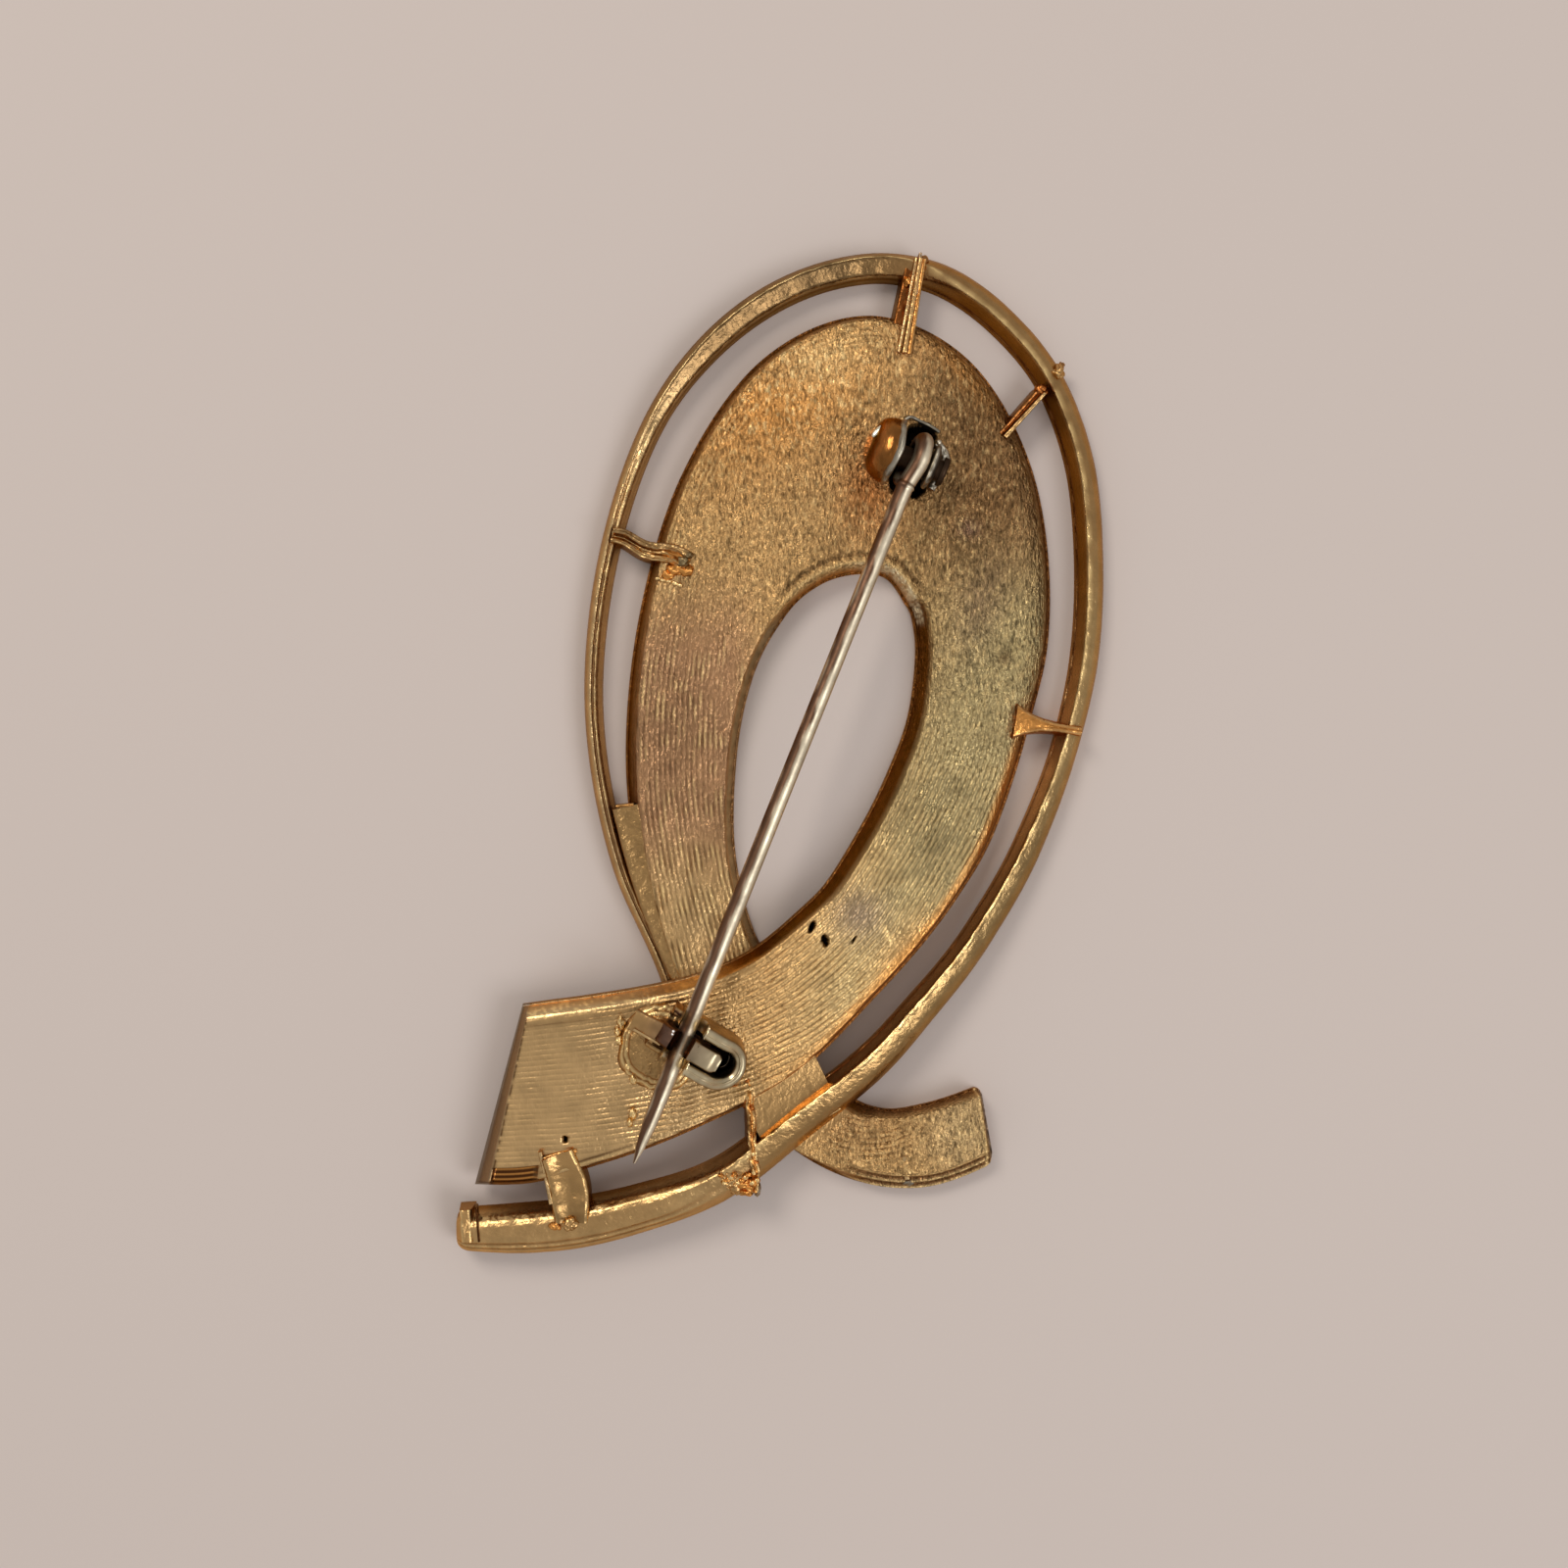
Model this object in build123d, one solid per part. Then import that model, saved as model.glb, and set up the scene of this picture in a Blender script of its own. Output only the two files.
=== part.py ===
from build123d import *
from collections import namedtuple
from math import asin, atan2, cos, degrees, dist, hypot, radians, sin
import os

# A cast ribbon-loop brooch that lies on its front, with its back and its pin upwards.
# X runs across the brooch, Y along it, and Z from the front faces (Z = 0) to the back. Millimetres.

# Overall plan.
SPAN_X = 33.3
SPAN_Y = 51.3
HALF_X = SPAN_X / 2
HALF_Y = SPAN_Y / 2

# Flat ribbon.
BAND_THICK = 1.7
BAND_DRAFT = 0.42
BAND_BEVEL = 0.16
BAND_LIP = 0.3
CROSS_SINK = 0.2
CROSS_LIFT = BAND_THICK - CROSS_SINK

# The front is cast a little deep and ground flat.
FRONT_TRIM = 0.3
TRIM_FADE = 4.0

# Outline rail, a crowned wire on a thin flange, with its ridge towards the ribbon. Shares are of its width.
RAIL_WIDTH = 2.4
RAIL_FLANGE = 0.45
RAIL_LEDGE = 0.12
RAIL_WALL = 1.2
RAIL_OUTSIDE = 0.75
RAIL_LEAN_SHARE = 0.15
RAIL_CROWN_SHARE = 0.35
RAIL_RIDGE_SHARE = 0.12
RAIL_BULGE_OUT = 0.06
RAIL_BULGE_UP = 0.16

# Lip along the lower edge of the lower tail.
LIP_WIDTH = 0.6
LIP_HEIGHT = 0.75
LIP_STEP_SHARE = 0.6

# Cast bridges between rail and ribbon, and the rests of the sprues.
BRIDGE_WIDTH = 1.0
BRIDGE_RIDGE_SHARE = 0.5
BRIDGE_FOOT = 0.35
BRIDGE_RISE = 0.35
NUB_RADIUS = 0.42
RIB_WIDTH = 0.8
RIB_RIDGE = 0.5
RIB_SINK = 0.3
RIB_RISE = 2.0
STRAP_WIDTH = 1.9
STRAP_RISE = 0.25
WEB_HEIGHT = 1.15

# Rivet through the hinge.
RIVET_RADIUS = 0.55
RIVET_CLEAR = 0.04
RIVET_HEAD = 0.28
RIVET_HEAD_EDGE = 0.2
RIVET_HEAD_ROUND_SHARE = 0.6
RIVET_SEAT = 0.9

# Pin wire: an eye and a thicker root, a straight stem, a gentle taper through the catch and a point.
PIN_RADIUS = 0.42
PIN_CATCH_RADIUS = 0.38
PIN_POINT_LENGTH = 4.5
PIN_POINT_RADIUS = 0.06
PIN_BEYOND_CATCH = 6.35
PIN_TAPER_BEFORE_CATCH = 2.6
EYE_WIRE = 0.45
ROOT_LENGTH = 2.4
EYE_CLEAR = 0.06
EYE_RADIUS = RIVET_RADIUS + EYE_CLEAR + EYE_WIRE
EYE_TURN = 272.0
EYE_SIDE_GAP = 0.27

# Hinge lug and ear, soldered to the ribbon's back, with a hollow that the eye dips into.
EYE_SINK = 0.16
HINGE_RISE = EYE_RADIUS + EYE_WIRE - EYE_SINK
HINGE_GAP = EYE_WIRE + EYE_SIDE_GAP
LUG_WALL = 1.15
LUG_RADIUS = RIVET_RADIUS + LUG_WALL
LUG_WIDTH = 1.95
LUG_DOME = 1.4
DOME_LIMIT = 0.9
EAR_WALL = 0.7
EAR_RADIUS = RIVET_RADIUS + EAR_WALL
EAR_THICK = 0.7
SKIRT_EDGE = 0.3
SKIRT_TOP_SHARE = 0.6
SKIRT_HEIGHT = 0.7
SKIRT_LUG_SHIFT = 0.2
SKIRT_EAR_SHIFT = 0.1
FOOT_SINK = 0.25
POCKET_BELOW_EYE = 0.74
POCKET_DEPTH = EYE_SINK + POCKET_BELOW_EYE
POCKET_BEHIND_EYE = 0.59
POCKET_BEFORE_EYE = 0.39

# Safety catch: a slotted housing on a stepped round base, with a turning lock.
CATCH_SKEW = 8.0
CATCH_CLEAR = 0.26
CATCH_BORE = PIN_RADIUS + CATCH_CLEAR
COLLAR_WALL = 0.3
ROTOR_RIM = 0.57
ROTOR_RADIUS = CATCH_BORE + COLLAR_WALL + ROTOR_RIM
ROTOR_CLEAR = 0.08
HOUSING_FLOOR = 0.37
CATCH_RISE = ROTOR_RADIUS + ROTOR_CLEAR + HOUSING_FLOOR
BASE_RADIUS = 2.1
BASE_HEIGHT = 0.22
BASE_SIDE = -0.65
BASE_WAY = 1.05
STEP_IN = 0.3
STEP_BELOW_FLOOR = 0.02
HOUSING_SLOT = 1.3
HOUSING_RAIL = 0.8
HOUSING_WIDTH = HOUSING_SLOT + HOUSING_RAIL * 2
HOUSING_BEYOND = 2.05
HOUSING_REACH = ROTOR_RADIUS + HOUSING_BEYOND
HOUSING_OVER = 0.2
HOUSING_TOP = ROTOR_RADIUS + HOUSING_OVER
HOUSING_LEFT = ROTOR_RADIUS + HOUSING_OVER
HOUSING_LEFT_TOP = 0.25
HOUSING_LEFT_BEVEL = 0.35
HOUSING_END_WALL = 0.6
BEND_REACH = 1.3
BEND_FOOT = 0.1
BEND_MIDDLE = (0.3, 0.7)
COLLAR_DEPTH_SHARE = 0.5
ROTOR_HALF = HOUSING_SLOT / 2 - ROTOR_CLEAR
TAB_BEYOND = 1.25
TAB_ROOT_SHARE = 0.6
TAB_LOW = 0.3
TAB_THICK = 0.5
TAB_TAPER = 0.2
# The plate beside the lock's slot, as shares of ROTOR_RADIUS.
PLATE = [(0.32, 0.58), (0.58, 0.20), (0.97, 0.26), (1.16, 0.65), (1.16, 0.90), (0.32, 0.90)]

# Larger than any feature it cuts.
FAR = SPAN_X * 0.36

# The ribbon's edges at its front, row by row: X as a share of HALF_X, Y of HALF_Y, lift of CROSS_LIFT.
Row = namedtuple("Row", "x_out y_out x_in y_in lift")

# Right limb: from the slanted end of the upper tail to the right-hand side.
RIGHT_LIMB = [
    Row(-0.930, -0.851, -0.784, -0.494, 0.70),
    Row(-0.763, -0.848, -0.694, -0.485, 0.79),
    Row(-0.585, -0.817, -0.585, -0.475, 0.88),
    Row(-0.235, -0.731, -0.270, -0.434, 1.00),
    Row(0.014, -0.648, -0.115, -0.393, 1.00),
    Row(0.298, -0.476, 0.056, -0.309, 0.78),
    Row(0.552, -0.281, 0.189, -0.211, 0.38),
    Row(0.679, -0.133, 0.326, -0.049, 0.12),
    Row(0.778, 0.068, 0.405, 0.094, 0.0),
    Row(0.832, 0.226, 0.423, 0.217, 0.0),
]

# Left limb: from the right-hand side over the crescent top, down the left and out along the lower tail.
LEFT_LIMB = [
    Row(0.832, 0.226, 0.423, 0.217, 0.0),
    Row(0.838, 0.335, 0.414, 0.266, 0.0),
    Row(0.792, 0.551, 0.386, 0.307, 0.0),
    Row(0.623, 0.766, 0.338, 0.350, 0.0),
    Row(0.335, 0.876, 0.265, 0.362, 0.0),
    Row(-0.050, 0.791, 0.132, 0.341, 0.0),
    Row(-0.298, 0.561, 0.026, 0.281, 0.0),
    Row(-0.429, 0.280, -0.077, 0.157, 0.0),
    Row(-0.471, 0.020, -0.129, -0.010, 0.0),
    Row(-0.453, -0.157, -0.135, -0.177, 0.0),
    Row(-0.383, -0.364, -0.080, -0.344, 0.0),
    Row(-0.271, -0.541, 0.023, -0.476, 0.0),
    Row(-0.086, -0.701, 0.120, -0.630, 0.0),
    Row(0.032, -0.783, 0.223, -0.685, 0.0),
    Row(0.198, -0.844, 0.320, -0.709, 0.0),
    Row(0.424, -0.866, 0.454, -0.699, 0.0),
    Row(0.665, -0.815, 0.623, -0.662, 0.0),
]
ROW_CUTS = 3

# The rail's centre line: X and Y as above, width as a share of RAIL_WIDTH.
Station = namedtuple("Station", "x y width lift")
RAIL = [
    Station(-0.286, -0.541, 0.38, 0.0),
    Station(-0.348, -0.426, 0.39, 0.0),
    Station(-0.486, -0.217, 0.40, 0.0),
    Station(-0.570, 0.118, 0.40, 0.0),
    Station(-0.553, 0.287, 0.42, 0.0),
    Station(-0.498, 0.466, 0.44, 0.0),
    Station(-0.383, 0.665, 0.48, 0.0),
    Station(-0.221, 0.810, 0.57, 0.0),
    Station(-0.062, 0.896, 0.61, 0.0),
    Station(0.158, 0.960, 0.62, 0.0),
    Station(0.335, 0.974, 0.63, 0.0),
    Station(0.503, 0.950, 0.65, 0.0),
    Station(0.692, 0.864, 0.63, 0.0),
    Station(0.836, 0.747, 0.61, 0.0),
    Station(0.926, 0.591, 0.61, 0.0),
    Station(0.958, 0.386, 0.60, 0.0),
    Station(0.941, 0.181, 0.59, 0.0),
    Station(0.881, 0.011, 0.56, 0.0),
    Station(0.774, -0.172, 0.61, 0.1),
    Station(0.621, -0.347, 0.64, 0.35),
    Station(0.437, -0.497, 0.70, 0.7),
    Station(0.245, -0.626, 0.78, 0.95),
    Station(0.061, -0.719, 0.82, 1.0),
    Station(-0.155, -0.827, 0.88, 0.95),
    Station(-0.418, -0.895, 0.98, 0.8),
    Station(-0.683, -0.933, 1.05, 0.65),
    Station(-0.800, -0.939, 1.02, 0.6),
    Station(-0.924, -0.941, 0.92, 0.55),
]
RAIL_CUTS = 2
# The rounded end of the rail's tail.
RAIL_END = [
    Station(-0.952, -0.941, 0.86, 0.54),
    Station(-0.974, -0.941, 0.74, 0.53),
    Station(-0.987, -0.941, 0.56, 0.53),
]

# Lip of the lower tail: the rail's other end, pressed against the ribbon's edge.
TAIL_LIP = [
    Station(0.030, -0.776, 1.0, 0.0),
    Station(0.190, -0.833, 1.0, 0.0),
    Station(0.320, -0.856, 1.0, 0.0),
    Station(0.426, -0.858, 1.0, 0.0),
    Station(0.560, -0.838, 1.0, 0.0),
    Station(0.660, -0.804, 1.0, 0.0),
]

# Bridges, from the rail to the ribbon, as shares of HALF_X and HALF_Y, and the width as a share of
# BRIDGE_WIDTH, which flares towards the ribbon.
Bridge = namedtuple("Bridge", "x_rail y_rail x_band y_band width flare")
BRIDGES = [
    Bridge(0.438, 0.980, 0.385, 0.806, 1.0, 1.5),
    Bridge(0.850, 0.758, 0.706, 0.638, 0.6, 1.3),
    Bridge(-0.508, 0.425, -0.290, 0.388, 1.0, 1.7),
    Bridge(0.916, 0.047, 0.720, 0.065, 1.0, 2.0),
]
# Sprue nubs: X and Y as above, height as a share of BAND_THICK and radius of NUB_RADIUS.
Nub = namedtuple("Nub", "x y height radius")
NUBS = [
    Nub(0.440, 0.979, 0.76, 1.0),
    Nub(0.866, 0.765, 0.76, 1.0),
    Nub(-0.105, -0.866, 1.35, 1.8),
    Nub(0.392, -0.850, 0.47, 0.85),
]
# The rib down the left edge of the smooth web, from under the upper tail across the rail.
RIB = [(-0.098, -0.660), (-0.085, -0.740), (-0.062, -0.860)]
# The strap between the upper tail and the rail's tail.
STRAP = [(-0.676, -0.780), (-0.662, -0.940)]
STRAP_LIFT = 0.8
# Web between the rail and the lower left limb.
WEB = [(-0.490, -0.124), (-0.420, -0.114), (-0.318, -0.425), (-0.375, -0.430)]

# Pin hinge and catch places, as shares of HALF_X and HALF_Y, and the tail's lift under the catch.
HINGE_PLACE = (0.399, 0.575)
CATCH_PLACE = (-0.297, -0.546)
CATCH_LIFT_SHARE = 0.97


def at(x, y, z=0.0):
    """A point from its shares of the plan."""
    return Vector(x * HALF_X, y * HALF_Y, z)


def smooth(rows, cuts):
    """The rows with more between them, on smooth curves that pass through every row."""
    gaps = [dist(a, b) for a, b in zip(rows, rows[1:])]
    rises = [[(q - p) / gap for p, q in zip(a, b)] for a, b, gap in zip(rows, rows[1:], gaps)]
    slopes = []
    for near, far, before, after in zip(gaps, gaps[1:], rises, rises[1:]):
        slopes.append([(p * far + q * near) / (near + far) for p, q in zip(before, after)])
    slopes.insert(0, [1.5 * p - 0.5 * q for p, q in zip(rises[0], slopes[0])])
    slopes.append([1.5 * p - 0.5 * q for p, q in zip(rises[-1], slopes[-1])])
    result = []
    for a, b, start, end, gap in zip(rows, rows[1:], slopes, slopes[1:], gaps):
        for step in range(cuts):
            u = step / cuts
            late = u * u * (3 - 2 * u)
            leave = u * (1 - u) ** 2 * gap
            arrive = u * u * (u - 1) * gap
            values = [p + (q - p) * late + s * leave + e * arrive for p, q, s, e in zip(a, b, start, end)]
            result.append(type(a)(*values))
    return result + [rows[-1]]


def trim(lift):
    """How far a section reaches below its front, which fades out where it lifts."""
    return FRONT_TRIM * max(0.0, 1 - TRIM_FADE * max(0.0, lift))


def upright(outer, inner, lift):
    """The vertical plane through both edges, with its origin midway and its local y up."""
    across = outer - inner
    middle = (outer + inner) / 2
    return Plane(origin=(middle.X, middle.Y, lift), x_dir=across, z_dir=across.cross(Vector(0, 0, 1)))


def band_outline(width, low):
    """The ribbon's section: drafted walls over a short upright foot, and a bevelled flat back."""
    half = width / 2
    top = half - BAND_DRAFT
    points = [
        (-half, -low), (half, -low), (half, BAND_LIP),
        (top, BAND_THICK - BAND_BEVEL), (top - BAND_BEVEL, BAND_THICK),
        (BAND_BEVEL - top, BAND_THICK), (-top, BAND_THICK - BAND_BEVEL),
        (-half, BAND_LIP),
    ]
    return make_face(Polyline(*points, close=True))


def rail_outline(width, low):
    """The rail's section: a flange, a ledge on each side and a crowned back."""
    half = width / 2
    foot = half - RAIL_LEDGE
    shoulder = foot - RAIL_LEAN_SHARE * width
    ridge = RAIL_RIDGE_SHARE * width
    crown = RAIL_WALL + RAIL_CROWN_SHARE * width
    bulge = ((ridge - foot) / 2 - RAIL_BULGE_OUT * width, (crown + RAIL_OUTSIDE) / 2 + RAIL_BULGE_UP * width)
    edges = Polyline((-foot, RAIL_OUTSIDE), (-foot, RAIL_FLANGE), (-half, RAIL_FLANGE), (-half, -low),
                     (half, -low), (half, RAIL_FLANGE), (foot, RAIL_FLANGE), (shoulder, RAIL_WALL),
                     (ridge, crown))
    return make_face(edges + ThreePointArc((ridge, crown), bulge, (-foot, RAIL_OUTSIDE)))


def lip_outline(width, low):
    """The lip's section, highest along its outer side."""
    half = width / 2
    step = LIP_HEIGHT * LIP_STEP_SHARE
    points = [(-half, -low), (half, -low), (half, step), (half / 2, LIP_HEIGHT), (-half, LIP_HEIGHT)]
    return make_face(Polyline(*points, close=True))


def band(rows):
    """One stretch of ribbon, lofted through its rows."""
    sections = []
    for row in rows:
        outer, inner = at(row.x_out, row.y_out), at(row.x_in, row.y_in)
        plane = upright(outer, inner, row.lift * CROSS_LIFT)
        sections.append(plane * band_outline((outer - inner).length, trim(row.lift)))
    return loft(sections)


def ribbon():
    """Both limbs of the ribbon, which share the row at the right-hand side."""
    rows = smooth(RIGHT_LIMB + LEFT_LIMB[1:], ROW_CUTS)
    seam = (len(RIGHT_LIMB) - 1) * ROW_CUTS
    return band(rows[:seam + 1]), band(rows[seam:])


def headings(points):
    """The direction of travel at each point of a line."""
    ahead = points[1:] + points[-1:]
    behind = points[:1] + points[:-1]
    return [(b - a).normalized() for a, b in zip(behind, ahead)]


def rail(stations, width, outline, ending=()):
    """A rail, lofted through sections square to its centre line, and its ending in a loft of its own."""
    stations = smooth(stations, RAIL_CUTS)
    last = len(stations)
    stations += list(ending)
    points = [at(s.x, s.y) for s in stations]
    sections = []
    for station, point, heading in zip(stations, points, headings(points)):
        plane = Plane(origin=(point.X, point.Y, station.lift * CROSS_LIFT),
                      x_dir=heading.cross(Vector(0, 0, 1)), z_dir=heading * -1)
        sections.append(plane * outline(station.width * width, trim(station.lift)))
    body = loft(sections[:last])
    return body + loft(sections[last - 1:]) if ending else body


def fin_face(point, heading, width, ridge, low, high):
    """A fin's section: wide at its foot and narrow along its ridge."""
    plane = Plane(origin=(point.X, point.Y, 0), x_dir=heading.cross(Vector(0, 0, 1)), z_dir=heading * -1)
    points = [(-width / 2, low), (width / 2, low), (ridge / 2, high), (-ridge / 2, high)]
    return plane * make_face(Polyline(*points, close=True))


def fin(start, end, width, flare, ridge, low, high):
    """A cast fin between two points, which widens towards its end."""
    heading = (end - start).normalized()
    return loft([fin_face(start, heading, width, ridge, low, high),
                 fin_face(end, heading, width * flare, ridge * flare, low, high)])


def bridge(spec):
    """A bridge from the rail to the ribbon."""
    start, end = at(spec.x_rail, spec.y_rail), at(spec.x_band, spec.y_band)
    width = spec.width * BRIDGE_WIDTH
    ridge = width * BRIDGE_RIDGE_SHARE
    return fin(start, end, width, spec.flare, ridge, BRIDGE_FOOT, BAND_THICK + BRIDGE_RISE)


def lower_rib():
    """The rib that runs from under the upper tail over the rail."""
    points = [at(*place) for place in RIB]
    low, high = CROSS_LIFT - RIB_SINK, CROSS_LIFT + RIB_RISE
    fins = [fin(a, b, RIB_WIDTH, 1.0, RIB_RIDGE, low, high) for a, b in zip(points, points[1:])]
    elbow = Pos(points[1].X, points[1].Y, (low + high) / 2) * Cylinder(RIB_RIDGE / 2, high - low)
    return fins[0] + elbow + fins[1]


def strap():
    """The flat strap between the upper tail and the rail's tail."""
    start, end = at(*STRAP[0]), at(*STRAP[1])
    high = CROSS_LIFT * STRAP_LIFT + BAND_THICK + STRAP_RISE
    return fin(start, end, STRAP_WIDTH, 1.0, STRAP_WIDTH - BAND_BEVEL * 2, CROSS_LIFT, high)


def nub(spec):
    """The rest of a sprue."""
    return Pos(*at(spec.x, spec.y, spec.height * BAND_THICK)) * Sphere(spec.radius * NUB_RADIUS)


def web():
    """The low plate that joins the rail to the lower left limb."""
    outline = Polyline(*[at(x, y, -FRONT_TRIM) for x, y in WEB], close=True)
    return extrude(make_face(outline), FRONT_TRIM + WEB_HEIGHT, dir=(0, 0, 1))


# Frames of the hinge, the pin and the catch.
HINGE = at(*HINGE_PLACE, BAND_THICK + HINGE_RISE)
CATCH_FLOOR = CATCH_LIFT_SHARE * CROSS_LIFT + BAND_THICK
CATCH = at(*CATCH_PLACE, CATCH_FLOOR + CATCH_RISE)
REACH = Vector(CATCH.X - HINGE.X, CATCH.Y - HINGE.Y, 0)
PIN_WAY = REACH.normalized()
HINGE_AXIS = PIN_WAY.cross(Vector(0, 0, 1))
SKEW = radians(CATCH_SKEW)
CATCH_WAY = PIN_WAY * cos(SKEW) + HINGE_AXIS * sin(SKEW)
CATCH_SIDE = Vector(0, 0, 1).cross(CATCH_WAY)
# Local x along the pin, local y up and local z along the rivet towards the lug.
HINGE_FRAME = Plane(origin=HINGE, x_dir=PIN_WAY, z_dir=HINGE_AXIS)
# Local x towards the housing's closed end, local y up and local z along the pin.
CATCH_FRAME = Plane(origin=CATCH, x_dir=CATCH_SIDE, z_dir=CATCH_WAY)
# Local z up.
UPWARDS = Rot(-90, 0, 0)


def skirt(middle):
    """A low cone of solder under one side of the hinge."""
    radius = LUG_RADIUS + SKIRT_EDGE
    cone = Cone(radius, radius * SKIRT_TOP_SHARE, SKIRT_HEIGHT)
    return Pos(0, SKIRT_HEIGHT / 2 - HINGE_RISE - FOOT_SINK, middle) * UPWARDS * cone


def hinge_mount():
    """The domed lug and the thin ear that hold the rivet, with the slot between them."""
    lug = Cylinder(LUG_RADIUS, LUG_WIDTH, align=(Align.CENTER, Align.CENTER, Align.MIN))
    rim = lug.edges().filter_by(GeomType.CIRCLE).sort_by(Axis.Z)[-1]
    dome = min(LUG_DOME, LUG_RADIUS * DOME_LIMIT, LUG_WIDTH * DOME_LIMIT)
    lug = Pos(0, 0, HINGE_GAP) * fillet(rim, dome)
    ear = Pos(0, 0, -HINGE_GAP - EAR_THICK / 2) * Cylinder(EAR_RADIUS, EAR_THICK)
    tall = HINGE_RISE + FOOT_SINK
    ear += Pos(0, -tall / 2, -HINGE_GAP - EAR_THICK / 2) * Box(EAR_RADIUS * 2, tall, EAR_THICK)
    mount = lug + ear + skirt(HINGE_GAP + SKIRT_LUG_SHIFT) + skirt(-HINGE_GAP - SKIRT_EAR_SHIFT)
    slot = Pos(0, FAR / 2 - HINGE_RISE, 0) * Box(FAR, FAR, HINGE_GAP * 2)
    return mount - slot


def rivet_hole():
    """The hole through the ear and into the lug."""
    depth = HINGE_GAP + RIVET_SEAT + RIVET_HEAD
    start = -HINGE_GAP - EAR_THICK - RIVET_HEAD
    return Pos(0, 0, (depth + start) / 2) * Cylinder(RIVET_RADIUS + RIVET_CLEAR, depth - start)


def pocket():
    """The hollow in the ribbon's back under the eye."""
    back = EYE_RADIUS + EYE_WIRE + POCKET_BEHIND_EYE
    front = EYE_RADIUS + EYE_WIRE + POCKET_BEFORE_EYE
    hollow = extrude(Plane.XZ * SlotOverall(back + front, HINGE_GAP * 2), POCKET_DEPTH * 2, both=True)
    return Pos((front - back) / 2, -HINGE_RISE + POCKET_DEPTH, 0) * hollow


def rivet():
    """The hinge rivet, with its head outside the ear."""
    start = -HINGE_GAP - EAR_THICK
    depth = HINGE_GAP + RIVET_SEAT
    shank = Pos(0, 0, (start - RIVET_HEAD + depth) / 2) * Cylinder(RIVET_RADIUS, depth - start + RIVET_HEAD)
    head = Pos(0, 0, start - RIVET_HEAD / 2) * Cylinder(RIVET_RADIUS + RIVET_HEAD_EDGE, RIVET_HEAD)
    rim = head.edges().filter_by(GeomType.CIRCLE).sort_by(Axis.Z)[0]
    return shank + fillet(rim, RIVET_HEAD * RIVET_HEAD_ROUND_SHARE)


def pin():
    """The pin wire: an eye rolled round the rivet, a straight stem, a taper and a point."""
    run, rise = REACH.length, CATCH.Z - HINGE.Z
    slope = atan2(rise, run) - asin(EYE_RADIUS / hypot(run, rise))
    root = Vector(-sin(slope), cos(slope)) * EYE_RADIUS
    way = Vector(cos(slope), sin(slope))
    reach = (Vector(run, rise) - root).length
    start = degrees(slope) + 90 + EYE_TURN
    eye = CenterArc((0, 0), EYE_RADIUS, start, -EYE_TURN)
    begin = Vector(cos(radians(start)), sin(radians(start))) * EYE_RADIUS
    entry = Plane(origin=begin, z_dir=(sin(radians(start)), -cos(radians(start)), 0))
    shape = sweep(entry * Circle(EYE_WIRE), path=eye)
    along = [0, ROOT_LENGTH, reach - PIN_TAPER_BEFORE_CATCH, reach + PIN_BEYOND_CATCH - PIN_POINT_LENGTH,
             reach + PIN_BEYOND_CATCH]
    radii = [EYE_WIRE, PIN_RADIUS, PIN_RADIUS, PIN_CATCH_RADIUS, PIN_POINT_RADIUS]
    profile = Polyline((0, along[0]), *zip(radii, along), (0, along[-1]), close=True)
    stem = revolve(Plane.XZ * make_face(profile), Axis.Z)
    return shape + Plane(origin=root, z_dir=way) * stem, root, way, along


def catch_base():
    """The stepped round base under the catch."""
    spot = CATCH + CATCH_SIDE * BASE_SIDE + CATCH_WAY * BASE_WAY
    place = Pos(spot.X, spot.Y, CATCH_FLOOR - FOOT_SINK)
    low = (Align.CENTER, Align.CENTER, Align.MIN)
    step_height = HOUSING_FLOOR - STEP_BELOW_FLOOR
    return place * (Cylinder(BASE_RADIUS, FOOT_SINK + BASE_HEIGHT, align=low)
                    + Cylinder(BASE_RADIUS - STEP_IN, FOOT_SINK + step_height, align=low))


def collar_depth():
    """How deep the lock's collars reach into each rail of the housing."""
    return HOUSING_RAIL * COLLAR_DEPTH_SHARE


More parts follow.
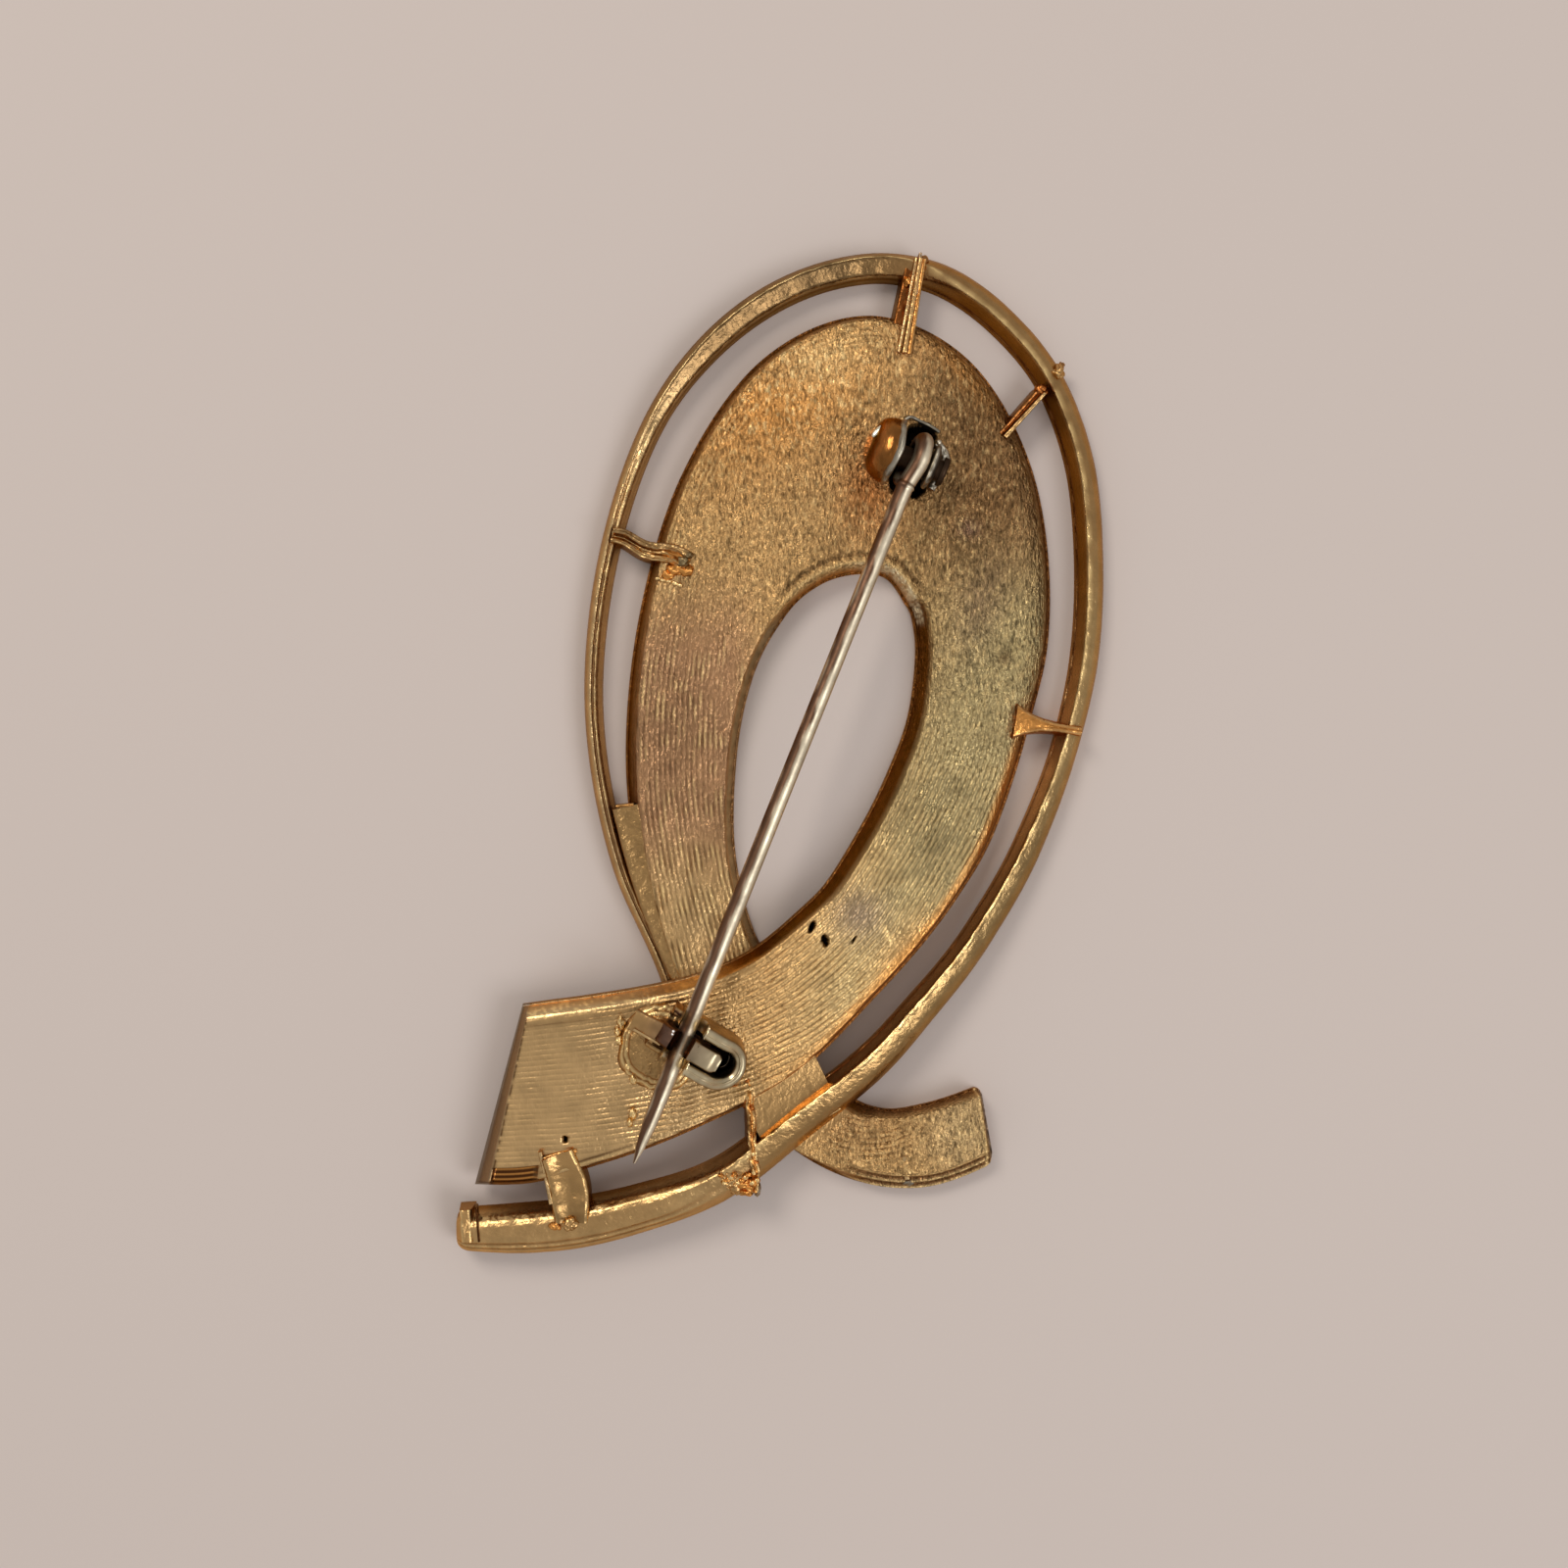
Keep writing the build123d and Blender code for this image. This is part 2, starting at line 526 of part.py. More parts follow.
def housing():
    """The catch's housing, open at the top and at its left end."""
    foot = -CATCH_RISE - FOOT_SINK
    crest = HOUSING_REACH - BEND_REACH
    middle = (HOUSING_REACH - BEND_REACH * BEND_MIDDLE[0],
              BEND_FOOT + (HOUSING_TOP - BEND_FOOT) * BEND_MIDDLE[1])
    bend = ThreePointArc((HOUSING_REACH, BEND_FOOT), middle, (crest, HOUSING_TOP))
    sides = Polyline((crest, HOUSING_TOP), (0, HOUSING_TOP), (0, HOUSING_LEFT_TOP),
                     (HOUSING_LEFT_BEVEL - HOUSING_LEFT, HOUSING_LEFT_TOP),
                     (-HOUSING_LEFT, HOUSING_LEFT_TOP - HOUSING_LEFT_BEVEL),
                     (-HOUSING_LEFT, foot), (HOUSING_REACH, foot), (HOUSING_REACH, BEND_FOOT))
    body = extrude(make_face(bend + sides), HOUSING_WIDTH / 2, both=True)
    turn = HOUSING_REACH - HOUSING_WIDTH / 2
    plan = Pos((turn - FAR) / 2, 0, 0) * Box(turn + FAR, FAR, HOUSING_WIDTH)
    plan += Pos(turn, 0, 0) * UPWARDS * Cylinder(HOUSING_WIDTH / 2, FAR)
    floor = -ROTOR_RADIUS - ROTOR_CLEAR
    stop = HOUSING_REACH - HOUSING_END_WALL - HOUSING_SLOT / 2
    slot = Pos((stop - FAR) / 2, floor + FAR / 2, 0) * Box(stop + FAR, FAR, HOUSING_SLOT)
    slot += Pos(stop, floor + FAR / 2, 0) * UPWARDS * Cylinder(HOUSING_SLOT / 2, FAR)
    bore = Cylinder(CATCH_BORE, FAR) + Pos(0, FAR / 2, 0) * Box(CATCH_BORE * 2, FAR, FAR)
    seats = Cylinder(CATCH_BORE + COLLAR_WALL + ROTOR_CLEAR, HOUSING_SLOT + collar_depth() * 2)
    return (body & plan) - slot - bore - seats


def rotor():
    """The turning lock: a slotted disc on two collars, with a plate and a thumb tab."""
    turned = Cylinder(ROTOR_RADIUS, ROTOR_HALF * 2)
    turned += Cylinder(CATCH_BORE + COLLAR_WALL, (HOUSING_SLOT / 2 + collar_depth() - ROTOR_CLEAR) * 2)
    plate = Polyline(*[(x * ROTOR_RADIUS, y * ROTOR_RADIUS) for x, y in PLATE], close=True)
    tip, root, high = -ROTOR_RADIUS - TAB_BEYOND, -ROTOR_RADIUS * TAB_ROOT_SHARE, TAB_LOW + TAB_THICK
    tab = Polyline((tip, TAB_LOW), (root, TAB_LOW - TAB_TAPER), (root, high), (tip, high), close=True)
    turned += extrude(make_face(plate), ROTOR_HALF, both=True)
    turned += extrude(make_face(tab), ROTOR_HALF, both=True)
    return turned - Cylinder(CATCH_BORE, FAR) - Pos(0, FAR / 2, 0) * Box(CATCH_BORE * 2, FAR, FAR)


def casting():
    """The whole casting with its soldered hinge and catch, ground flat at the front."""
    right, left = ribbon()
    body = left + right + rail(RAIL, RAIL_WIDTH, rail_outline, RAIL_END)
    body += rail(TAIL_LIP, LIP_WIDTH, lip_outline)
    for piece in [web(), lower_rib(), strap(), *map(bridge, BRIDGES), *map(nub, NUBS)]:
        body += piece
    body += HINGE_FRAME.location * hinge_mount()
    body -= HINGE_FRAME.location * pocket()
    body -= HINGE_FRAME.location * rivet_hole()
    body += catch_base()
    body += CATCH_FRAME.location * housing()
    floor = Pos(0, 0, -FAR / 2) * Box(SPAN_X * 1.5, SPAN_Y * 1.5, FAR)
    return body - floor


os.makedirs("parts", exist_ok=True)
brooch = casting()
middle = brooch.bounding_box().center()
seat = Pos(-middle.X, -middle.Y, 0)
wire, pin_root, pin_way, pin_along = pin()
nodes = {
    "ribbon_casting": brooch,
    "hinge_rivet": HINGE_FRAME.location * rivet(),
    "pin_stem": HINGE_FRAME.location * wire,
    "catch_rotor": CATCH_FRAME.location * rotor(),
}
for name, shape in nodes.items():
    print(name, shape.volume, shape.bounding_box().size)
    export_step(seat * shape, f"parts/{name}.step")
stem_middle = pin_root + pin_way * ((pin_along[1] + pin_along[2]) / 2)
print("seat", seat.position)
print("hinge", (seat * HINGE_FRAME.location).position, "axis", HINGE_AXIS)
print("catch", (seat * CATCH_FRAME.location).position, "axis", CATCH_WAY)
print("stem", pin_along[2] - pin_along[1])
print("stem middle", (seat * HINGE_FRAME.location * Pos(*stem_middle)).position)
print("stem axis", PIN_WAY * pin_way.X + Vector(0, 0, 1) * pin_way.Y)
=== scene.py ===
import math

import bpy
import numpy as np
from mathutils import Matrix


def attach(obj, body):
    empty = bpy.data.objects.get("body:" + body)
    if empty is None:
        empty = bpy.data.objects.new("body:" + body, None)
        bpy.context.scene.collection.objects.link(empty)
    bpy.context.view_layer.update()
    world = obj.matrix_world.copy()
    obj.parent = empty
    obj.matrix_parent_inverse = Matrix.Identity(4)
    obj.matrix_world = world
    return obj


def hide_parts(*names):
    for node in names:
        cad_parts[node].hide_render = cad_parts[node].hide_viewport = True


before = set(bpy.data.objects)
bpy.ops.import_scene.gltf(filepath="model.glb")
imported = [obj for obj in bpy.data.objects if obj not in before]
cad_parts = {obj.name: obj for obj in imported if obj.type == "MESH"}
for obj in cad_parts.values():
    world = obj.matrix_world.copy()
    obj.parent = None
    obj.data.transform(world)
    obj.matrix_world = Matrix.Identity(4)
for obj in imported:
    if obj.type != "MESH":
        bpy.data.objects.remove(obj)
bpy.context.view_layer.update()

# All lengths here are in millimetres in the plan of the casting. SEAT moves the plan into the row's frame.
MM = 0.001
SPAN_X = 33.3
SPAN_Y = 51.3
HALF_X = SPAN_X / 2
HALF_Y = SPAN_Y / 2
SEAT = np.array([-0.121416, -0.216495, 0.0])
BAND_THICK = 1.7
CROSS_LIFT = 1.5
SEED = 41
UP = np.array([0.0, 0.0, 1.0])
# The hinge and the catch: middles, the way the pin lies and the directions across it.
HINGE = np.array([0.399 * HALF_X, 0.575 * HALF_Y, 3.05])
PIN_WAY = np.array([-0.373807, -0.927507, 0.0])
HINGE_AXIS = np.array([-0.927507, 0.373807, 0.0])
EYE_SLOT = 0.79
EYE_RADIUS = 1.06
EYE_TURN = math.radians(272)
CATCH = np.array([-0.297 * HALF_X, -0.546 * HALF_Y, 5.155])
CATCH_WAY = np.array([-0.499253, -0.866456, 0.0])
CATCH_SIDE = np.array([0.866456, -0.499253, 0.0])
CATCH_FLOOR = 3.155
PLATE_FLOOR = 3.16
HOUSING_MIDDLE = -0.12
HOUSING_SIDE = 1.00
HOUSING_TURN = 2.02
# The pin's slope, its length from the hinge, and its half thickness at distances from the hinge.
PIN_SLOPE = 0.033676
PIN_LENGTH = 37.4043
PIN_AT = [0, 2.4, 33.6, 35.4, 36.6, PIN_LENGTH]
PIN_THICK = [0.45, 0.42, 0.42, 0.36, 0.22, 0.06]
# The picture: its scale 1 mm above the floor, and the place on the plan and in the picture under the camera.
CAMERA_HIGH = 105
PIXELS_PER_MM = 20
CAMERA_X = -5.25
CAMERA_Y = 1.514
NADIR_X = 690.5
NADIR_Y = 740
FLOOR_HALF = 0.6

# The limbs: shares of the half spans at the outer and the inner edge, x then y, and the share of the lift.
RIGHT_LIMB = [
    (-0.930, -0.851, -0.784, -0.494, 0.70), (-0.763, -0.848, -0.694, -0.485, 0.79),
    (-0.585, -0.817, -0.585, -0.475, 0.88), (-0.235, -0.731, -0.270, -0.434, 1.00),
    (0.014, -0.648, -0.115, -0.393, 1.00), (0.298, -0.476, 0.056, -0.309, 0.78),
    (0.552, -0.281, 0.189, -0.211, 0.38), (0.679, -0.133, 0.326, -0.049, 0.12),
    (0.778, 0.068, 0.405, 0.094, 0.0), (0.832, 0.226, 0.423, 0.217, 0.0),
]
LEFT_LIMB = [
    (0.832, 0.226, 0.423, 0.217, 0.0), (0.838, 0.335, 0.414, 0.266, 0.0),
    (0.792, 0.551, 0.386, 0.307, 0.0), (0.623, 0.766, 0.338, 0.350, 0.0),
    (0.335, 0.876, 0.265, 0.362, 0.0), (-0.050, 0.791, 0.132, 0.341, 0.0),
    (-0.298, 0.561, 0.026, 0.281, 0.0), (-0.429, 0.280, -0.077, 0.157, 0.0),
    (-0.471, 0.020, -0.129, -0.010, 0.0), (-0.453, -0.157, -0.135, -0.177, 0.0),
    (-0.383, -0.364, -0.080, -0.344, 0.0), (-0.271, -0.541, 0.023, -0.476, 0.0),
    (-0.086, -0.701, 0.120, -0.630, 0.0), (0.032, -0.783, 0.223, -0.685, 0.0),
    (0.198, -0.844, 0.320, -0.709, 0.0), (0.424, -0.866, 0.454, -0.699, 0.0),
    (0.665, -0.815, 0.623, -0.662, 0.0),
]

# The rail: shares of the half spans, share of its width, and share of the lift.
RAIL_WIDTH = 2.4
RAIL = [
    (-0.286, -0.541, 0.38, 0.0), (-0.348, -0.426, 0.39, 0.0), (-0.486, -0.217, 0.40, 0.0),
    (-0.570, 0.118, 0.40, 0.0), (-0.553, 0.287, 0.42, 0.0), (-0.498, 0.466, 0.44, 0.0),
    (-0.383, 0.665, 0.48, 0.0), (-0.221, 0.810, 0.57, 0.0), (-0.062, 0.896, 0.61, 0.0),
    (0.158, 0.960, 0.62, 0.0), (0.335, 0.974, 0.63, 0.0), (0.503, 0.950, 0.65, 0.0),
    (0.692, 0.864, 0.63, 0.0), (0.836, 0.747, 0.61, 0.0), (0.926, 0.591, 0.61, 0.0),
    (0.958, 0.386, 0.60, 0.0), (0.941, 0.181, 0.59, 0.0), (0.881, 0.011, 0.56, 0.0),
    (0.774, -0.172, 0.61, 0.1), (0.621, -0.347, 0.64, 0.35), (0.437, -0.497, 0.70, 0.7),
    (0.245, -0.626, 0.78, 0.95), (0.061, -0.719, 0.82, 1.0), (-0.155, -0.827, 0.88, 0.95),
    (-0.418, -0.895, 0.98, 0.8), (-0.683, -0.933, 1.05, 0.65), (-0.800, -0.939, 1.02, 0.6),
    (-0.924, -0.941, 0.92, 0.55), (-0.9866, -0.941, 0.86, 0.53),
]


def smooth(rows, cuts):
    """Rows on smooth curves through the given rows."""
    rows = np.array(rows, float)
    gaps = np.linalg.norm(np.diff(rows, axis=0), axis=1)
    rises = np.diff(rows, axis=0) / gaps[:, None]
    inner = (rises[:-1] * gaps[1:, None] + rises[1:] * gaps[:-1, None]) / (gaps[:-1] + gaps[1:])[:, None]
    first = 1.5 * rises[0] - 0.5 * inner[0]
    last = 1.5 * rises[-1] - 0.5 * inner[-1]
    slopes = np.vstack([first, inner, last])
    result = []
    for a, b, start, end, gap, count in zip(rows, rows[1:], slopes, slopes[1:], gaps, cuts):
        u = (np.arange(count) / count)[:, None]
        late = u * u * (3 - 2 * u)
        result.append(a + (b - a) * late + start * u * (1 - u) ** 2 * gap + end * u * u * (u - 1) * gap)
    result.append(rows[-1:])
    return np.vstack(result)


def ease(low, high, value):
    """0 below low, 1 above high and a smooth step between."""
    t = np.clip((value - low) / (high - low), 0, 1)
    return t * t * (3 - 2 * t)


def between(a, b, c, d, value):
    """0 below a, 1 from b to c and 0 above d, with smooth steps between."""
    return ease(a, b, value) * (1 - ease(c, d, value))


def stripe(value, middle, half):
    """1 on a soft line at a middle value and 0 beside it."""
    return np.exp(-((value - middle) / half) ** 2)


def noise(x, y, seed):
    """Smooth value noise from -1 to 1 with cells of unit size."""
    table = np.random.default_rng(SEED + seed).uniform(-1, 1, (128, 128))
    xi = np.floor(x).astype(int)
    yi = np.floor(y).astype(int)
    fx = x - xi
    fy = y - yi
    fx = fx * fx * (3 - 2 * fx)
    fy = fy * fy * (3 - 2 * fy)
    a = table[xi % 128, yi % 128]
    b = table[(xi + 1) % 128, yi % 128]
    c = table[xi % 128, (yi + 1) % 128]
    d = table[(xi + 1) % 128, (yi + 1) % 128]
    return (a * (1 - fx) + b * fx) * (1 - fy) + (c * (1 - fx) + d * fx) * fy


def srgb(r, g, b):
    """A linear colour from its 8-bit screen values."""
    values = np.array([r, g, b], float) / 255
    return np.where(values <= 0.04045, values / 12.92, ((values + 0.055) / 1.055) ** 2.4)


ORANGE = srgb(226, 158, 84)
TAN = srgb(206, 164, 108)
GREEN = srgb(182, 164, 118)
BROWN = srgb(158, 116, 76)
ROSE = srgb(176, 132, 100)
RUST = srgb(190, 116, 58)
PURPLE = srgb(128, 98, 82)
# A dark brown painted as shade in grooves, creases, recesses, under lumps and on bar walls.
SHADE_DARK = srgb(84, 50, 26)
WALL = srgb(168, 110, 56)
# A darker brown painted on the leaning walls of the ribbon, rail, bars and lug as shade.
WALL_SHADE = srgb(118, 70, 28)
OLIVE = srgb(140, 120, 86)
# A near-white tone painted as highlights on ribs, rims, rounded edges, lips and small lumps.
PAINTED_HIGHLIGHT = srgb(250, 214, 150)
PALE = srgb(216, 182, 132)
GREY = srgb(150, 130, 112)
SILVER = srgb(214, 204, 184)
CREAM = srgb(226, 208, 170)
# Painted inside the holes, the eye's pocket and the catch's slot as the shade in them.
HOLLOW_SHADE = srgb(14, 8, 6)


def blend(base, colour, weight):
    """Colours part of the way from base to colour."""
    weight = np.asarray(weight)[..., None]
    return base * (1 - weight) + colour * weight


def layered(colour, *layers):
    """The colour with others blended over it in turn, each by its weight."""
    for tone, weight in layers:
        colour = blend(colour, tone, weight)
    return colour


def place(px, py, z=BAND_THICK):
    """Plan millimetres from a place seen in the picture, at a height."""
    reach = (CAMERA_HIGH - z) / (CAMERA_HIGH - 1) / PIXELS_PER_MM
    return (px - NADIR_X) * reach + CAMERA_X, (NADIR_Y - py) * reach + CAMERA_Y


def seen(x, y, z):
    """Where a plan place at a height is seen in the picture."""
    reach = (CAMERA_HIGH - z) / (CAMERA_HIGH - 1) / PIXELS_PER_MM
    return (x - CAMERA_X) / reach + NADIR_X, NADIR_Y - (y - CAMERA_Y) / reach


def spot(px, py, z, high=None):
    """The point over a place seen in the picture at one height, moved to another where that is given."""
    return (*place(px, py, z), z if high is None else high)


def oval(px, py, middle_x, middle_y, radius_x, radius_y, turn=0.0):
    """1 at the middle of a soft oval in the picture and 0 outside it."""
    c, s = math.cos(math.radians(turn)), math.sin(math.radians(turn))
    dx = ((px - middle_x) * c + (py - middle_y) * s) / radius_x
    dy = ((py - middle_y) * c - (px - middle_x) * s) / radius_y
    return np.exp(-(dx * dx + dy * dy) * 1.6)


# Soft ovals of another colour, by their place in the picture: colour, share, middle, radii and turn.
# The first orange oval, at the upper left, and the ovals in the highlight tone are painted highlights.
WARM_PATCHES = [
    (ORANGE, 0.9, 800, 395, 140, 85, -40),
    (RUST, 0.75, 890, 500, 40, 60),
    (ORANGE * 0.85, 0.6, 990, 372, 90, 26, 48),
    (PAINTED_HIGHLIGHT, 0.5, 835, 365, 70, 36, -20),
    (ORANGE, 0.7, 935, 985, 42, 70, 40),
]
COOL_PATCHES = [
    (PURPLE, 0.75, 990, 540, 15, 12),
    (PURPLE, 0.45, 1000, 620, 30, 60, 20),
    (GREY, 0.7, 878, 934, 34, 32),
    (SHADE_DARK, 0.6, 1026, 671, 8, 8),
    (PALE, 0.6, 705, 930, 60, 80),
    (PALE, 0.8, 985, 1155, 45, 60),
    (BROWN, 0.4, 870, 1145, 50, 34),
    (PAINTED_HIGHLIGHT, 0.3, 985, 1155, 40, 45),
]
# Places in the picture where the colour is made darker: middle, radii and the share of the colour kept.
SHADES = [
    (950, 850, 95, 120, 0.56), (800, 1000, 90, 60, 0.80), (600, 1025, 80, 40, 0.78),
    (700, 600, 50, 70, 0.74), (690, 740, 60, 90, 0.74), (985, 425, 60, 80, 0.80), (995, 560, 60, 60, 0.80),
    (985, 1150, 60, 60, 0.84), (600, 1240, 150, 40, 0.66), (1050, 860, 50, 90, 0.72),
]


def patches_at(px, py, patches):
    """Layers for the soft ovals of another colour."""
    return [(tone, share * oval(px, py, *where)) for tone, share, *where in patches]


def ribbon_colour(px, py):
    """The ribbon's colour by the place in the picture: the plating's tones, a painted highlight at the upper
    left and darker ovals.
    """
    right = ease(860, 1000, px + 0.3 * (py - 700))
    colour = layered(
        np.broadcast_to(TAN, px.shape + (3,)),
        (GREEN, 0.9 * right * between(470, 640, 1000, 1100, py)),
        (BROWN * 0.62, 0.85 * ease(890, 990, px) * (1 - ease(500, 660, py))),
        (ROSE, 0.75 * (1 - ease(740, 800, px)) * between(560, 680, 830, 940, py)),
        *patches_at(px, py, WARM_PATCHES),
        (PALE, 0.6 * (1 - ease(700, 800, px)) * ease(1010, 1060, py)),
        *patches_at(px, py, COOL_PATCHES))
    for *where, share in SHADES:
        colour = colour * (1 - (1 - share) * oval(px, py, *where))[..., None]
    return colour


class Shape:
    """Points, faces and colours gathered from several sheets into one object."""

    def __init__(self):
        self.points = []
        self.colours = []
        self.grains = []
        self.faces = []
        self.count = 0

    def add(self, points, colours, faces, grain=0.0):
        """Adds points with their colours and the faces between them."""
        points = points.reshape(-1, 3)
        self.faces.append(faces + self.count)
        self.points.append(points)
        self.colours.append(np.broadcast_to(colours.reshape(-1, 3), points.shape))
        self.grains.append(np.broadcast_to(np.ravel(grain), len(points)))
        self.count += len(points)

    def grid(self, points, colours, grain=0.0, flip=False):
        """Adds a grid of points as one sheet of quads."""
        rows, columns = points.shape[:2]
        i, j = np.meshgrid(np.arange(rows - 1), np.arange(columns - 1), indexing="ij")
        a = i * columns + j
        b = a + columns
        quads = np.stack([a, a + 1, b + 1, b], -1).reshape(-1, 4)
        self.add(points, colours, quads[:, ::-1] if flip else quads, grain)

    def cap(self, ring, colours, flip=False):
        """Closes a ring of points with a face of its own."""
        face = np.arange(len(ring))
        self.add(ring, colours, (face[::-1] if flip else face)[None, :])

    def object(self, name, material, body="frame", node="ribbon_casting"):
        """Makes the object and puts it in place of its node, on its body."""
        points = (np.vstack(self.points) + SEAT) * MM
        mesh = bpy.data.meshes.new(name)
        mesh.vertices.add(self.count)
        mesh.vertices.foreach_set("co", points.astype(np.float32).ravel())
        counts = np.concatenate([np.full(len(f), f.shape[1]) for f in self.faces])
        corners = np.concatenate([f.ravel() for f in self.faces])
        starts = np.concatenate([[0], np.cumsum(counts)[:-1]])
        mesh.loops.add(len(corners))
        mesh.loops.foreach_set("vertex_index", corners.astype(np.int32))
        mesh.polygons.add(len(counts))
        mesh.polygons.foreach_set("loop_start", starts.astype(np.int32))
        mesh.polygons.foreach_set("use_smooth", np.ones(len(counts), bool))
        mesh.update(calc_edges=True)
        tint = mesh.color_attributes.new("tint", "FLOAT_COLOR", "POINT")
        rgba = np.ones((self.count, 4), np.float32)
        rgba[:, :3] = np.clip(np.vstack(self.colours), 0, 1)
        tint.data.foreach_set("color", rgba.ravel())
        grain = mesh.attributes.new("grain", "FLOAT", "POINT")
        grain.data.foreach_set("value", np.concatenate(self.grains).astype(np.float32))
        mesh.materials.append(material)
        piece = bpy.data.objects.new(name, mesh)
        bpy.context.scene.collection.objects.link(piece)
        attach(piece, body)
        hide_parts(node)


def feed(tree, node, inputs):
    """Sets each input of a node, or links it where the value is another node's output."""
    for key, value in inputs.items():
        if isinstance(value, bpy.types.NodeSocket):
            tree.links.new(value, node.inputs[key])
        else:
            node.inputs[key].default_value = value


def grown(tree, kind, output, inputs, **settings):
    """Adds a node with its settings and inputs, and gives one of its outputs."""
    node = tree.nodes.new(kind)
    for key, value in settings.items():
        setattr(node, key, value)
    feed(tree, node, inputs)
    return node.outputs[output]


def ranged(tree, value, start, end, low, high):
    """A value moved from one range to another."""
    limits = {"Value": value, "From Min": start, "From Max": end, "To Min": low, "To Max": high}
    return grown(tree, "ShaderNodeMapRange", "Result", limits)


def bare_metal(name):
    """A metal material, its node tree and its shader."""
    material = bpy.data.materials.new(name)
    material.use_nodes = True
    shader = material.node_tree.nodes["Principled BSDF"]
    shader.inputs["Metallic"].default_value = 1.0
    return material, material.node_tree, shader


def metal(name, roughness, bump, scale, stretch=(1, 1, 1), spread=0.14, base_bump=0.25):
    """A plated metal: the vertex tint with fine stains, painted shade in the hollows of a cast grain, and
    the grain in its bump.
    """
    material, tree, shader = bare_metal(name)
    tint = grown(tree, "ShaderNodeAttribute", "Color", {}, attribute_name="tint")
    grain = grown(tree, "ShaderNodeAttribute", "Fac", {}, attribute_name="grain")
    where = grown(tree, "ShaderNodeTexCoord", "Object", {})
    stretched = grown(tree, "ShaderNodeMapping", "Vector", {"Vector": where, "Scale": stretch})
    look = {"Vector": stretched, "Scale": scale, "Detail": 3.0, "Distortion": 0.4}
    fine = grown(tree, "ShaderNodeTexNoise", "Fac", look)
    look = {"Vector": where, "Scale": 900.0, "Detail": 6.0, "Roughness": 0.65}
    stains = grown(tree, "ShaderNodeTexNoise", "Fac", look)
    shade = ranged(tree, stains, 0.3, 0.7, 1.0 - spread, 1.0 + spread * 0.4)
    # Painted shade: the low parts of the fine grain are darkened where the grain attribute is high.
    hollow = ranged(tree, fine, 0.32, 0.5, 0.50, 1.0)
    coarse = grown(tree, "ShaderNodeMix", "Result", {"Factor": grain, "A": 1.0, "B": hollow})
    both = grown(tree, "ShaderNodeMath", "Value", {0: shade, 1: coarse}, operation="MULTIPLY")
    mixed = grown(tree, "ShaderNodeVectorMath", "Vector", {0: tint, "Scale": both}, operation="SCALE")
    gloss = ranged(tree, stains, 0.3, 0.7, roughness * 1.3, roughness * 0.8)
    amount = grown(tree, "ShaderNodeMath", "Value", {0: grain, 1: base_bump}, operation="ADD")
    height = grown(tree, "ShaderNodeMath", "Value", {0: fine, 1: amount}, operation="MULTIPLY")
    normal = grown(tree, "ShaderNodeBump", "Normal", {"Distance": bump * MM, "Height": height})
    feed(tree, shader, {"Base Color": mixed, "Roughness": gloss, "Normal": normal})
    shader.inputs["Specular Tint"].default_value = GOLD_GLARE
    return material


def side_shaded(name, light, dark, roughness):
    """Steel painted darker as shade on the side that faces along the hinge axis, lighter on the other."""
    material, tree, shader = bare_metal(name)
    where = grown(tree, "ShaderNodeTexCoord", "Object", {})
    normal = grown(tree, "ShaderNodeTexCoord", "Normal", {})
    axis = tuple(float(v) for v in HINGE_AXIS)
    facing = grown(tree, "ShaderNodeVectorMath", "Value", {0: normal, 1: axis}, operation="DOT_PRODUCT")
    streak = grown(tree, "ShaderNodeTexNoise", "Fac", {"Vector": where, "Scale": 1500.0, "Detail": 4.0})
    terms = {0: streak, 1: 0.5, 2: facing}
    shifted = grown(tree, "ShaderNodeMath", "Value", terms, operation="MULTIPLY_ADD")
    # Painted shade: faces turned along the hinge axis take the dark tone.
    share = ranged(tree, shifted, 0.2, 0.45, 0.0, 1.0)
    sides = {"Factor": share, "A": (*light, 1.0), "B": (*dark, 1.0)}
    mix = grown(tree, "ShaderNodeMix", "Result", sides, data_type="RGBA")
    gloss = ranged(tree, streak, 0.0, 1.0, roughness * 0.7, roughness * 1.4)
    feed(tree, shader, {"Base Color": mix, "Roughness": gloss})
    return material


GOLD_GLARE = (0.92, 0.68, 0.45, 1.0)
GOLD_GRAIN = metal("gold_grained", 0.31, 0.20, 6800.0, (1.0, 0.42, 1.0), base_bump=0.1)
GOLD_FINE = metal("gold_cast", 0.28, 0.05, 4200.0, base_bump=0.6)
GOLD_DOME = metal("gold_dome", 0.24, 0.05, 3400.0, (1.0, 0.3, 1.0), spread=0.4, base_bump=0.3)
STEEL = metal("hinge_plate", 0.38, 0.02, 4000.0, spread=0.35, base_bump=0.5)
STEEL_SMOOTH = metal("catch_plate", 0.30, 0.006, 2200.0, spread=0.25, base_bump=0.5)
PIN_STEEL = metal("pin_wire_steel", 0.42, 0.008, 2600.0, (1.0, 0.3, 1.0), spread=0.3, base_bump=0.5)


# The ribbon. Its edges are drawn at these distances from each side.
EDGE = np.array([0.0, 0.04, 0.08, 0.11, 0.13, 0.18, 0.24, 0.30, 0.36, 0.41, 0.44, 0.48, 0.53, 0.60, 0.70])
FOOT = 0.3
LEDGE = 0.12
RIGHT_CUTS = [30, 24, 36, 30, 40, 44, 26, 24, 20]
LEFT_CUTS = [20, 30, 60, 60, 60, 60, 50, 40, 34, 26, 26, 24, 24, 24, 24, 44]
RIGHT_ACROSS = 165
LEFT_ACROSS = 122
END_ROUND = 0.55
POCKET_DEPTH = 0.88
